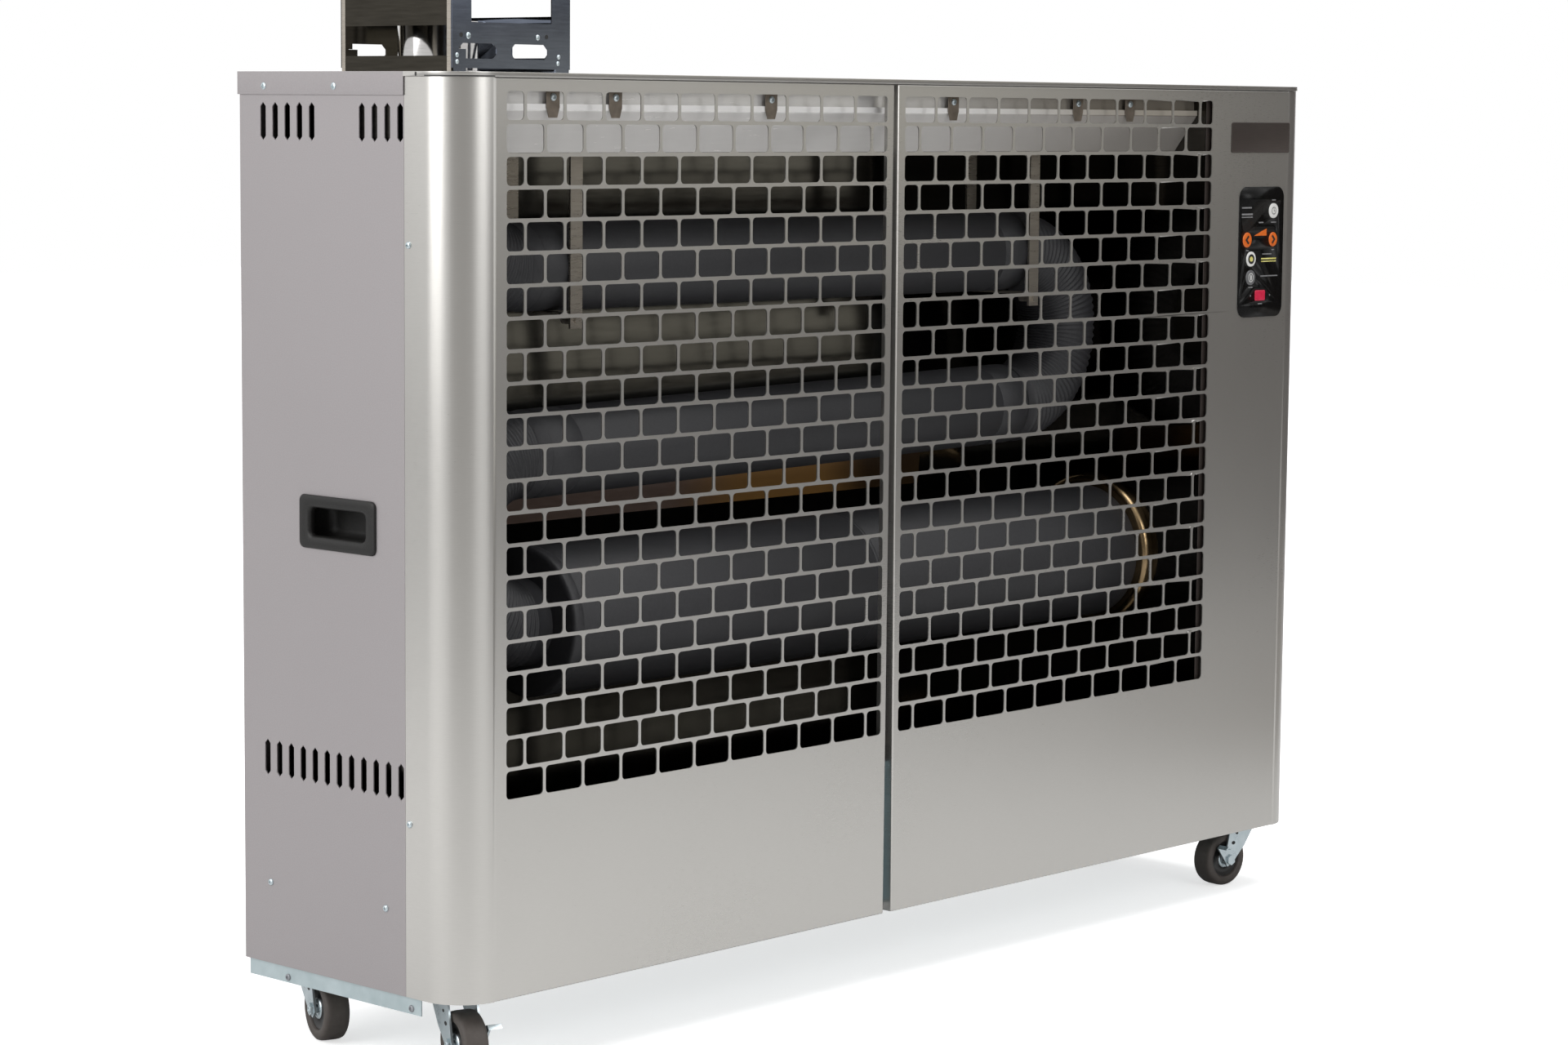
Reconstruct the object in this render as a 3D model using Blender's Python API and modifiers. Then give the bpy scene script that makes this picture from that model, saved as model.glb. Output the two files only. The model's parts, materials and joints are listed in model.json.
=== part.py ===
"""Infrared space heater on four casters, modelled as separate sheet-metal, tube and burner parts.

Places are written in cabinet coordinates: x from the left side plane, y back from the front plane
and z up from the bottom edge of the panels. world() moves them to the part's own frame, whose
origin is on the floor under the middle of the cabinet. Lengths are in metres.
"""
from math import atan2, cos, pi, sin, sqrt

import bmesh
import bpy
from mathutils import Matrix, Vector

# Clearances and sheet
GAP = 0.0003
SHEET = 0.0012
OVERRUN = 0.004
MERGE = 0.00001

# Cabinet
CABINET_WIDTH = 1.320
CABINET_DEPTH = 0.310
PANEL_HEIGHT = 0.8575
PANEL_LIFT = 0.0755
CORNER_RADIUS = 0.045
SEAM_DEPTH = 0.074
TONGUE_LENGTH = 0.020
REAR_RETURN = 0.022
LID_RIM = 0.0045
LID_SKIRT = 0.0215
LAP = SHEET + GAP
COVER_TOP = PANEL_HEIGHT - LID_RIM - GAP
PANEL_TOP = PANEL_HEIGHT - SHEET - GAP

# Punched windows of the front covers
CELL_PITCH = 0.0501
ROW_PITCH = 0.0298
BAR_WIDTH = 0.0035
WINDOW_HEAD = 0.0152
WINDOW_FOOT = 0.1867
WINDOW_LEFT = 0.0566
WINDOW_END = 0.18765
BRIDGE_WIDTH = 0.02365
SPLIT_LEFT_TOP_MARGIN = 0.00845
SPLIT_LEFT_BOTTOM_MARGIN = 0.00595
SPLIT_RIGHT_TOP_MARGIN = 0.00970
SPLIT_RIGHT_BOTTOM_MARGIN = 0.00560
WINDOW_TOP = PANEL_HEIGHT - WINDOW_HEAD
WINDOW_SPAN = (CABINET_WIDTH - WINDOW_LEFT - BRIDGE_WIDTH - WINDOW_END) / 2
WINDOW_RIGHT = WINDOW_LEFT + WINDOW_SPAN + BRIDGE_WIDTH
SPLIT_LEFT_TOP = WINDOW_LEFT + WINDOW_SPAN + SPLIT_LEFT_TOP_MARGIN
SPLIT_LEFT_BOTTOM = WINDOW_LEFT + WINDOW_SPAN + SPLIT_LEFT_BOTTOM_MARGIN
SPLIT_RIGHT_TOP = WINDOW_RIGHT - SPLIT_RIGHT_TOP_MARGIN
SPLIT_RIGHT_BOTTOM = WINDOW_RIGHT - SPLIT_RIGHT_BOTTOM_MARGIN
CELL_COLUMNS = int((WINDOW_SPAN + GAP) / CELL_PITCH - 1 / 2)
CELL_ROWS = int((WINDOW_TOP - WINDOW_FOOT + GAP) / ROW_PITCH)
COVER_FLANGE = 0.012
CORNER_STEPS = 4

# Side panel ventilation slots and handle
SLOT_WIDTH = 0.008
SLOT_HEIGHT = 0.036
UPPER_SLOT_DROP = 0.0465
UPPER_SLOT_PITCH = 0.01775
UPPER_SLOT_REAR_INSET = 0.035
UPPER_SLOT_FRONT_REACH = 0.0587
UPPER_SLOTS_REAR = 5
LOWER_SLOT_Z = 0.2022
LOWER_SLOT_HEIGHT = 0.035
LOWER_SLOT_PITCH = 0.0176
LOWER_SLOT_INSET = 0.0361
UPPER_SLOT_Z = PANEL_HEIGHT - UPPER_SLOT_DROP
UPPER_SLOT_REAR_Y = CABINET_DEPTH - UPPER_SLOT_REAR_INSET
UPPER_SLOT_FRONT_Y = SEAM_DEPTH + UPPER_SLOT_FRONT_REACH
UPPER_SLOTS_FRONT = int((UPPER_SLOT_FRONT_REACH - SLOT_WIDTH / 2) / UPPER_SLOT_PITCH) + 1
LOWER_SLOT_REAR_Y = CABINET_DEPTH - LOWER_SLOT_INSET
LOWER_SLOTS = int((LOWER_SLOT_REAR_Y - SEAM_DEPTH - SLOT_WIDTH / 2) / LOWER_SLOT_PITCH) + 1
SLOT_END_STEPS = 2
HANDLE_Y = 0.1684
HANDLE_Z = 0.4355
HANDLE_LENGTH = 0.109
HANDLE_HEIGHT = 0.051
HANDLE_RIM = 0.011
HANDLE_RIM_DEPTH = 0.0024
HANDLE_DEPTH = 0.032
HANDLE_WALL = 0.002
HANDLE_CORNER = 0.006

# Heating chamber, burner bay at its right and fuel tank under it
CHAMBER_LEFT = 0.050
BURNER_BAY = 0.195
CHAMBER_RIGHT = CABINET_WIDTH - BURNER_BAY
CHAMBER_FLANGE = 0.010
TANK_LEFT_ROOM = 0.020
TANK_RIGHT_ROOM = 0.015
TANK_FRONT = 0.020
TANK_REAR_ROOM = 0.020
TANK_HEIGHT = 0.158
TANK_LEFT = CHAMBER_LEFT + TANK_LEFT_ROOM
TANK_RIGHT = CHAMBER_RIGHT - TANK_RIGHT_ROOM
TANK_BACK = CABINET_DEPTH - TANK_REAR_ROOM

# Rear panel
REAR_LOUVRE_LENGTH = 0.100
REAR_LOUVRES = 5
REAR_LOUVRE_INSET = 0.105
REAR_LOUVRE_Z = 0.250
FILLER_INSET = 0.050
FILLER_DROP = 0.040
FILLER_HOLE_RADIUS = 0.030
INLET_INSET = 0.045
INLET_Z = 0.550
INLET_WIDTH = 0.028
INLET_HEIGHT = 0.022
INLET_DEPTH = 0.026
INLET_RIM = 0.005
INLET_WALL = 0.003
REAR_LOUVRE_X = CABINET_WIDTH - REAR_LOUVRE_INSET
FILLER_X = TANK_RIGHT - FILLER_INSET
FILLER_Z = TANK_HEIGHT - FILLER_DROP
INLET_X = CABINET_WIDTH - INLET_INSET

# Base pan
PAN_PLATE_Z = 0.008
PAN_SKIRT_BOTTOM = -0.0163
PAN_SKIRT_FRONT = 0.0562
PAN_SKIRT_INSET = 0.0036
PAN_UPTURN = 0.020
PAN_INSET = 2 * LAP
PAN_EDGE = PAN_INSET + SHEET
PAN_SKIRT_BACK = CABINET_DEPTH - PAN_SKIRT_INSET

# Reflector sheets in the heating chamber
REFLECTOR_STANDOFF = 0.0255
REFLECTOR_SHEET = 0.0008
BACK_INSET = 0.038
BACK_FOLD = 0.014
TOP_SHEET_FRONT = 0.022
TOP_LEDGE_DROP = 0.0285
TOP_LEDGE_HEIGHT = 0.005
TOP_LEDGE_STEP = 0.004
TOP_LIP_DROP = 0.0735
TOP_LIP_Y = 0.048
TOP_BACK_DROP = 0.0235
REFLECTOR_BOTTOM = TANK_HEIGHT + REFLECTOR_STANDOFF
BACK_Y = CABINET_DEPTH - BACK_INSET
BACK_FOLD_Y = BACK_Y - BACK_FOLD
TOP_LEDGE_Z = PANEL_HEIGHT - TOP_LEDGE_DROP
TOP_LIP_Z = PANEL_HEIGHT - TOP_LIP_DROP
TOP_BACK_Z = PANEL_HEIGHT - TOP_BACK_DROP

# Heat exchanger
TUBE_Y = CABINET_DEPTH / 2
TUBE_RADIUS = 0.044
TUBE_WALL = 0.0015
TOP_TUBE_DROP = 0.1851
MIDDLE_RISE = 0.0128
MIDDLE_SHARE = 1650 / 3484
CUFF = 0.015
COMBUSTION_RADIUS = 0.075
COMBUSTION_Z = 0.324
COMBUSTION_STANDOFF = 0.010
RIGHT_BEND_ROOM = 0.0307
LEFT_BEND_ROOM = 0.0315
ELBOW_RADIUS = 0.0853
FLUE_INSET = 0.0637
TOP_TUBE_Z = PANEL_HEIGHT - TOP_TUBE_DROP
MIDDLE_TUBE_LEFT_Z = COMBUSTION_Z + MIDDLE_SHARE * (TOP_TUBE_Z - COMBUSTION_Z)
MIDDLE_TUBE_RIGHT_Z = MIDDLE_TUBE_LEFT_Z + MIDDLE_RISE
RIGHT_BEND_RADIUS = (TOP_TUBE_Z - MIDDLE_TUBE_RIGHT_Z) / 2
LEFT_BEND_RADIUS = (MIDDLE_TUBE_LEFT_Z - COMBUSTION_Z) / 2
FLUE_X = CHAMBER_LEFT + FLUE_INSET
TOP_TUBE_LEFT = FLUE_X + ELBOW_RADIUS + CUFF
TOP_TUBE_RIGHT = CHAMBER_RIGHT - RIGHT_BEND_ROOM - TUBE_RADIUS - RIGHT_BEND_RADIUS - CUFF
MIDDLE_TUBE_LEFT = CHAMBER_LEFT + LEFT_BEND_ROOM + TUBE_RADIUS + LEFT_BEND_RADIUS + CUFF
MIDDLE_TUBE_RIGHT = TOP_TUBE_RIGHT
COMBUSTION_LEFT = MIDDLE_TUBE_LEFT
COMBUSTION_RIGHT = CHAMBER_RIGHT - COMBUSTION_STANDOFF
RIB_DEPTH = 0.0022
U_BEND_RIBS = 14
ELBOW_RIBS = 7
BORE_STEPS = 6
FLUE_RADIUS = 0.038
FLUE_RISE = 0.0485
FLUE_TOP = PANEL_HEIGHT + FLUE_RISE
FLUE_COLLAR = 0.010
COLLAR_OUTER_RADIUS = 0.088
COLLAR_THICKNESS = 0.014
HANGER_WIDTH = 0.016
HANGER_SHEET = 0.0025
HANGER_LEFT_REACH = 0.0365
HANGER_RIGHT_REACH = 0.0015
HANGER_DROP = 0.0594
HANGER_ROD_RADIUS = 0.004
HANGER_LEFT_X = TOP_TUBE_LEFT + HANGER_LEFT_REACH
HANGER_RIGHT_X = TOP_TUBE_RIGHT + HANGER_RIGHT_REACH
HANGER_BOTTOM = TOP_TUBE_Z - HANGER_DROP

# Burner behind the plain right end
BURNER_TUBE_RADIUS = 0.045
BURNER_REACH = 0.060
BLOWER_RADIUS = 0.068
BLOWER_WIDTH = 0.060
BLOWER_WALL = 0.0025
BLOWER_STANDOFF = 0.015
BLOWER_LEFT = CHAMBER_RIGHT + BLOWER_STANDOFF
FAN_RADIUS = 0.052
FAN_WIDTH = 0.036
FAN_HUB_RADIUS = 0.012
FAN_BLADES = 6
FAN_BLADE_SHEET = 0.002
FAN_PLATE = 0.003
FAN_BORE_CLEARANCE = 0.0004
MOTOR_RADIUS = 0.040
MOTOR_LENGTH = 0.070
SHAFT_RADIUS = 0.005
PUMP_RADIUS = 0.020
PUMP_LENGTH = 0.040
TANK_EDGE = 0.010
TANK_EDGE_STEPS = 1
FILLER_NECK_RADIUS = 0.0215
FILLER_NECK_LENGTH = 0.010
CAP_RADIUS = 0.026
CAP_HEIGHT = 0.015
CAP_GRIP_WIDTH = 0.008
CAP_GRIP_HEIGHT = 0.004
FUEL_PIPE_RADIUS = 0.004
FUEL_PIPE_Z = 0.080
FUEL_PIPE_BEND = 0.020
FUEL_PIPE_STEPS = 3

# Control panel on the right cover
PANEL_INSET = 0.0936
PANEL_DROP = 0.1875
PANEL_X = CABINET_WIDTH - PANEL_INSET
PANEL_Z = PANEL_HEIGHT - PANEL_DROP
PANEL_WIDTH = 0.085
PANEL_TALL = 0.148
PANEL_CORNER = 0.007
PANEL_CORNER_STEPS = 2
PANEL_PROUD = 0.0006
PANEL_BEZEL = 0.004
PANEL_DEPTH = 0.006
BUTTON_PROUD = 0.0006
BUTTON_TRAVEL = 0.0008
BUTTON_THICKNESS = 0.004
BUTTON_FIT = 0.0004
OVAL_BUTTON_WIDTH = 0.0185
OVAL_BUTTON_HEIGHT = 0.0170
POWER_BUTTON_WIDTH = 0.0200
POWER_BUTTON_HEIGHT = 0.0120
POWER_BUTTON_CORNER = 0.0020
ROUND_BUTTON_SIZE = 0.0172
ARROW_BUTTON_SIZE = 0.0164
CONTROL_BOX_DEPTH = 0.045
CONTROL_BOX_MARGIN = 0.010

BUTTON_LEFT_REACH = 0.0268
BUTTON_RIGHT_REACH = 0.0230
BUTTON_LAMP_REACH = 0.0188
BUTTON_TOP_RISE = 0.0466
BUTTON_UPPER_RISE = 0.0140
BUTTON_MIDDLE_DROP = 0.0078
BUTTON_LOWER_DROP = 0.0288
BUTTON_POWER_DROP = 0.0495

# Exhaust guard on the lid
GUARD_LEFT_REACH = 0.0497
GUARD_RIGHT_REACH = 0.1003
GUARD_FRONT_REACH = 0.075
GUARD_BACK_REACH = 0.082
GUARD_LEFT = FLUE_X - GUARD_LEFT_REACH
GUARD_RIGHT = FLUE_X + GUARD_RIGHT_REACH
GUARD_FRONT = TUBE_Y - GUARD_FRONT_REACH
GUARD_BACK = TUBE_Y + GUARD_BACK_REACH
GUARD_RAISE = 0.0041
GUARD_HEIGHT = 0.152
GUARD_BAND = 0.0424
GUARD_POST = 0.024
GUARD_HEAD = 0.022
GUARD_RETURN = 0.012
GUARD_SLOT_Z = 0.0199
GUARD_SLOT_HEIGHT = 0.0141
GUARD_SLOT_LEFT_INSET = 0.032
GUARD_SLOT_RIGHT_INSET = 0.0525
GUARD_SLOT_LEFT_X = GUARD_LEFT + GUARD_SLOT_LEFT_INSET
GUARD_SLOT_RIGHT_X = GUARD_RIGHT - GUARD_SLOT_RIGHT_INSET
GUARD_SLOT_LENGTH = 0.047
GUARD_SIDE_SLOT_LOW = 0.0152
GUARD_SIDE_SLOT_HIGH = 0.0431
GUARD_FOOT_HEIGHT = 0.0215
GUARD_FOOT_WIDTH = 0.016
GUARD_FOOT_SHEET = 0.0020
GUARD_FOOT_TOE = 0.018

# Casters
CASTER_INSET_X = 0.045
CASTER_INSET_Y = 0.056
WHEEL_RADIUS = 0.0315
WHEEL_WIDTH = 0.025
TYRE_CHAMFER = 0.005
HUB_RADIUS = 0.020
HUB_RECESS = 0.004
BORE_RADIUS = 0.0045
AXLE_RADIUS = 0.0040
AXLE_HEAD_RADIUS = 0.0062
AXLE_HEAD = 0.0025
CASTER_TRAIL = 0.022
CASTER_PLATE_X = 0.060
CASTER_PLATE_Y = 0.048
CASTER_PLATE = 0.0025
RACE_RADIUS = 0.0190
RACE_HEIGHT = 0.0060
FORK_SHEET = 0.0022
FORK_LEG_GAP = 0.0011
FORK_TOP_WIDTH = 0.034
FORK_FOOT_RADIUS = 0.0085
FORK_FOOT_STEPS = 3
PEDAL_SHEET = 0.0020
PEDAL_RADIUS = 0.0075
PEDAL_REACH = 0.016
PEDAL_WIDTH = 0.012
PEDAL_STANDOFF = 0.0030

ROUND = 16
WHEEL_ROUND = 12
SMALL_ROUND = 12
PIN_ROUND = 8
BOLT_ROUND = 6
BEVEL_STEPS = 1


def world(x, y, z):
    """Cabinet coordinates to the part's own frame."""
    return Vector((x - CABINET_WIDTH / 2, y - CABINET_DEPTH / 2, z + PANEL_LIFT))


for old in list(bpy.data.objects):
    bpy.data.objects.remove(old, do_unlink=True)

PARTS = bpy.data.collections.new("space_heater")
CUTTERS = bpy.data.collections.new("cutters")
bpy.context.scene.collection.children.link(PARTS)
bpy.context.scene.collection.children.link(CUTTERS)


def make_material(name, color, metallic, roughness):
    """A Principled material with the colour, metal and roughness of one finish."""
    material = bpy.data.materials.new(name)
    material.use_nodes = True
    shader = material.node_tree.nodes["Principled BSDF"]
    shader.inputs["Base Color"].default_value = (*color, 1.0)
    shader.inputs["Metallic"].default_value = metallic
    shader.inputs["Roughness"].default_value = roughness
    material.diffuse_color = (*color, 1.0)
    return material


STAINLESS = make_material("brushed_stainless", (0.55, 0.54, 0.52), 1.0, 0.32)
PAINTED = make_material("satin_grey_panel", (0.42, 0.40, 0.41), 0.6, 0.42)
GALVANISED = make_material("galvanised_steel", (0.46, 0.52, 0.54), 0.8, 0.38)
MIRROR = make_material("mirror_stainless", (0.80, 0.79, 0.77), 1.0, 0.06)
TUBE_BLACK = make_material("tube_black", (0.045, 0.045, 0.048), 0.2, 0.55)
COPPER = make_material("heat_tinted_steel", (0.62, 0.38, 0.26), 1.0, 0.25)
BLACK_PLASTIC = make_material("black_plastic", (0.02, 0.02, 0.02), 0.0, 0.5)
PANEL_BLACK = make_material("panel_black", (0.012, 0.012, 0.012), 0.0, 0.25)
ZINC = make_material("zinc_plated", (0.62, 0.68, 0.70), 0.9, 0.30)
TYRE = make_material("tyre_rubber", (0.075, 0.060, 0.052), 0.0, 0.65)
RED = make_material("red_button", (0.60, 0.02, 0.04), 0.0, 0.35)
ORANGE = make_material("orange_button", (0.75, 0.16, 0.02), 0.0, 0.35)
WHITE = make_material("white_button", (0.75, 0.75, 0.73), 0.0, 0.35)
YELLOW = make_material("yellow_lamp", (0.80, 0.76, 0.25), 0.0, 0.25)
GREY = make_material("grey_button", (0.30, 0.30, 0.31), 0.0, 0.40)
MOTOR_GREY = make_material("cast_grey", (0.30, 0.31, 0.33), 0.4, 0.50)
TANK_BLACK = make_material("tank_plastic", (0.05, 0.05, 0.05), 0.0, 0.55)
COPPER_PIPE = make_material("copper_pipe", (0.70, 0.40, 0.25), 1.0, 0.30)


def finish(bm, name, material, origin, group=None):
    """Turn a bmesh in cabinet coordinates into a named object whose origin is at a given place."""
    bmesh.ops.translate(bm, verts=bm.verts, vec=-Vector(origin))
    mesh = bpy.data.meshes.new(name)
    bm.to_mesh(mesh)
    bm.free()
    if material:
        mesh.materials.append(material)
    part = bpy.data.objects.new(name, mesh)
    part.location = world(*origin)
    (group or PARTS).objects.link(part)
    return part


def prism_into(bm, points, run):
    """Add a closed prism: a flat outline swept along a straight run."""
    face = bm.faces.new([bm.verts.new(p) for p in points])
    made = bmesh.ops.extrude_face_region(bm, geom=[face])
    moved = [g for g in made["geom"] if isinstance(g, bmesh.types.BMVert)]
    bmesh.ops.translate(bm, verts=moved, vec=run)
    return bm


def prism(name, material, points, run, origin=None, group=None):
    """A named part swept from one flat outline."""
    bm = prism_into(bmesh.new(), points, run)
    bmesh.ops.recalc_face_normals(bm, faces=bm.faces)
    return finish(bm, name, material, origin or points[0], group)


def box_into(bm, low, high):
    """Add a box between two corners."""
    size = [b - a for a, b in zip(low, high)]
    middle = [(a + b) / 2 for a, b in zip(low, high)]
    matrix = Matrix.Translation(middle) @ Matrix.Diagonal((*size, 1.0))
    bmesh.ops.create_cube(bm, size=1.0, matrix=matrix)
    return bm


def box(name, material, low, high, group=None):
    """A named box, with its origin at its middle."""
    middle = [(a + b) / 2 for a, b in zip(low, high)]
    return finish(box_into(bmesh.new(), low, high), name, material, middle, group)


def cylinder_into(bm, start, end, radius, steps=SMALL_ROUND):
    """Add a capped cylinder between two points."""
    start, end = Vector(start), Vector(end)
    turn = (end - start).to_track_quat("Z", "Y").to_matrix().to_4x4()
    matrix = Matrix.Translation((start + end) / 2) @ turn
    bmesh.ops.create_cone(bm, cap_ends=True, segments=steps, radius1=radius, radius2=radius,
                          depth=(end - start).length, matrix=matrix)
    return bm


def cylinder(name, material, start, end, radius, steps=SMALL_ROUND, group=None):
    """A named capped cylinder, with its origin at its start."""
    bm = cylinder_into(bmesh.new(), start, end, radius, steps)
    return smooth(finish(bm, name, material, start, group))


def smooth(part):
    """Shade a round piece smooth with its real edges kept sharp."""
    part.data.shade_smooth()
    part.data.set_sharp_from_angle(angle=pi / 5)
    return part


def combine(part, other, operation):
    """Cut or join one part with another, which is kept as a hidden guide."""
    other.hide_render = True
    other.display_type = "WIRE"
    modifier = part.modifiers.new(operation.title(), "BOOLEAN")
    modifier.operation = operation
    modifier.object = other
    return part


def cut(part, cutter):
    """Take a cutter's shape out of a part."""
    return combine(part, cutter, "DIFFERENCE")


def join(part, other):
    """Fuse another solid to a part."""
    return combine(part, other, "UNION")


def weld(part):
    """Merge corners that a join or a cut left at one place."""
    modifier = part.modifiers.new("Weld", "WELD")
    modifier.merge_threshold = MERGE
    return part


def solidify(part, thickness, side=-1):
    """Give an open surface its sheet thickness."""
    modifier = part.modifiers.new("Sheet", "SOLIDIFY")
    modifier.thickness = thickness
    modifier.offset = side
    modifier.use_even_offset = True
    modifier.use_quality_normals = True
    return part


def face_away(bm, inside):
    """Turn an open surface so that it looks away from the side on which its sheet lies."""
    bmesh.ops.recalc_face_normals(bm, faces=bm.faces)
    inside = Vector(inside)
    square = max(bm.faces, key=lambda face: abs(face.normal.dot(inside)))
    if square.normal.dot(inside) > 0:
        bmesh.ops.reverse_faces(bm, faces=bm.faces)


def folded(name, material, points, run, inside, thickness=SHEET, origin=None):
    """Folded sheet: a section of straight legs swept along a run, thickened towards one side."""
    bm = bmesh.new()
    corners = [bm.verts.new(p) for p in points]
    edges = [bm.edges.new(pair) for pair in zip(corners, corners[1:])]
    made = bmesh.ops.extrude_edge_only(bm, edges=edges)
    moved = [g for g in made["geom"] if isinstance(g, bmesh.types.BMVert)]
    bmesh.ops.translate(bm, verts=moved, vec=run)
    face_away(bm, inside)
    return solidify(finish(bm, name, material, origin or points[0]), thickness)


def fold_edges(bm, edges, run):
    """Fold a flange from boundary edges and give back its new outer edges."""
    made = bmesh.ops.extrude_edge_only(bm, edges=edges)
    moved = [g for g in made["geom"] if isinstance(g, bmesh.types.BMVert)]
    bmesh.ops.translate(bm, verts=moved, vec=run)
    return [g for g in made["geom"] if isinstance(g, bmesh.types.BMEdge)]


def boundary(bm, test):
    """The open edges of a sheet whose two ends both pass a test."""
    return [e for e in bm.edges if e.is_boundary and all(test(v.co) for v in e.verts)]


def near(a, b):
    """Whether two places are the same within half a clearance."""
    return abs(a - b) < GAP / 2


def slot_outline(center, along, across, length, width, steps=SLOT_END_STEPS):
    """Outline of a slot with round ends, in the plane of two directions."""
    center, along, across = Vector(center), Vector(along), Vector(across)
    reach = (length - width) / 2
    points = []
    for end in (1, -1):
        for i in range(steps + 1):
            angle = -pi / 2 + pi * i / steps
            offset = along * (reach + width / 2 * cos(angle)) + across * (width / 2 * sin(angle))
            points.append(center + offset * end)
    return points


def rounded_outline(center, along, across, length, width, radius, steps):
    """Outline of a rectangle with round corners, in the plane of two directions."""
    center, along, across = Vector(center), Vector(along), Vector(across)
    points = []
    for corner, (sx, sy) in enumerate(((1, 1), (-1, 1), (-1, -1), (1, -1))):
        for i in range(steps + 1):
            angle = (corner + i / steps) * pi / 2
            u = sx * (length / 2 - radius) + radius * cos(angle)
            v = sy * (width / 2 - radius) + radius * sin(angle)
            points.append(center + along * u + across * v)
    return points


def turned(name, material, profile, origin, axis="Z", steps=ROUND, closed=False, group=None):
    """Turn a profile of radius and height, given top to bottom down its outer side, about an axis."""
    mesh = bpy.data.meshes.new(name)
    corners = [(radius, 0, height) for radius, height in profile]
    edges = [(i, i + 1) for i in range(len(corners) - 1)]
    if closed:
        edges.append((len(corners) - 1, 0))
    mesh.from_pydata(corners, edges, [])
    if material:
        mesh.materials.append(material)
    part = bpy.data.objects.new(name, mesh)
    part.location = world(*origin)
    part.rotation_euler = {"Z": (0, 0, 0), "X": (0, pi / 2, 0), "Y": (-pi / 2, 0, 0)}[axis]
    (group or PARTS).objects.link(part)
    modifier = part.modifiers.new("Turn", "SCREW")
    modifier.steps = steps
    modifier.render_steps = steps
    modifier.use_merge_vertices = True
    modifier.merge_threshold = MERGE
    modifier.use_smooth_shade = True
    return part


def pipe_profile(radius, wall, top, bottom):
    """Closed profile of a plain pipe."""
    return [(radius, top), (radius, bottom), (radius - wall, bottom), (radius - wall, top)]


def curve_solid(name, material, points, radii, depth, resolution, group=None):
    """A capped round bar along points, as a welded mesh."""
    curve = bpy.data.curves.new(name, "CURVE")
    curve.dimensions = "3D"
    curve.bevel_depth = depth
    curve.bevel_resolution = resolution
    curve.use_fill_caps = True
    curve.twist_mode = "MINIMUM"
    spline = curve.splines.new("POLY")
    spline.points.add(len(points) - 1)
    for knot, point, radius in zip(spline.points, points, radii):
        knot.co = (*world(*point), 1.0)
        knot.radius = radius / depth
    guide = bpy.data.objects.new(name + "_guide", curve)
    return curve_to_part(guide, name, material, group)


def curve_to_part(guide, name, material, group=None):
    """Turn a curve object into a welded mesh object of its own, and remove the curve."""
    CUTTERS.objects.link(guide)
    bpy.context.view_layer.update()
    evaluated = guide.evaluated_get(bpy.context.evaluated_depsgraph_get())
    mesh = bpy.data.meshes.new_from_object(evaluated)
    mesh.name = name
    bm = bmesh.new()
    bm.from_mesh(mesh)
    bmesh.ops.remove_doubles(bm, verts=bm.verts, dist=MERGE)
    bm.to_mesh(mesh)
    bm.free()
    mesh.materials.clear()
    if material:
        mesh.materials.append(material)
    part = bpy.data.objects.new(name, mesh)
    part.matrix_world = guide.matrix_world
    (group or PARTS).objects.link(part)
    bpy.data.objects.remove(guide, do_unlink=True)
    return part


# Front covers

def cell_spans(row, left, mirrored):
    """The hole spans of one row: whole cells, with a half cell at one end, in a brick pattern."""
    half_first = (row % 2 == 0) != mirrored
    start = left
    spans = []
    for cell in range(CELL_COLUMNS + 1):
        half = cell == 0 if half_first else cell == CELL_COLUMNS
        end = start + CELL_PITCH * (0.5 if half else 1)
        spans.append((start, end))
        start = end
    return spans


def window_holes(left, mirrored):
    """The punched holes of one cover, as corner points in x and z."""
    holes = []
    for row in range(CELL_ROWS):
        top = WINDOW_TOP - row * ROW_PITCH
        for start, end in cell_spans(row, left, mirrored):
            low, high = start + BAR_WIDTH / 2, end - BAR_WIDTH / 2
            holes.append([(low, top - BAR_WIDTH / 2), (high, top - BAR_WIDTH / 2),
                          (high, top - ROW_PITCH + BAR_WIDTH / 2),
                          (low, top - ROW_PITCH + BAR_WIDTH / 2)])
    return holes


def punched_face(outline, holes):
    """The flat front of a cover: an outline with its holes, filled as a 2D curve."""
    curve = bpy.data.curves.new("front", "CURVE")
    curve.dimensions = "2D"
    curve.fill_mode = "BOTH"
    for points in [outline] + holes:
        spline = curve.splines.new("POLY")
        spline.points.add(len(points) - 1)
        for knot, (x, z) in zip(spline.points, points):
            knot.co = (x, z, 0, 1)
        spline.use_cyclic_u = True
    guide = bpy.data.objects.new("front_guide", curve)
    CUTTERS.objects.link(guide)
    bpy.context.view_layer.update()
    evaluated = guide.evaluated_get(bpy.context.evaluated_depsgraph_get())
    mesh = bpy.data.meshes.new_from_object(evaluated)
    bm = bmesh.new()
    bm.from_mesh(mesh)
    bpy.data.objects.remove(guide, do_unlink=True)
    bmesh.ops.remove_doubles(bm, verts=bm.verts, dist=MERGE)
    inner = [e for e in bm.edges if not e.is_boundary]
    bmesh.ops.beautify_fill(bm, faces=bm.faces, edges=inner, method="ANGLE")
    for vert in bm.verts:
        vert.co = Vector((vert.co.x, 0, vert.co.y))
    return bm


def wrap_corner(bm, edges, corner_x, turn):
    """Sweep the side edge of a front round the cabinet's corner and back to the seam."""
    made = bmesh.ops.spin(bm, geom=edges, cent=(corner_x, CORNER_RADIUS, 0), axis=(0, 0, 1),
                          angle=turn * pi / 2, steps=CORNER_STEPS, use_duplicate=False)
    last = [g for g in made["geom_last"] if isinstance(g, bmesh.types.BMEdge)]
    fold_edges(bm, last, (0, SEAM_DEPTH - CORNER_RADIUS, 0))


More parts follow.
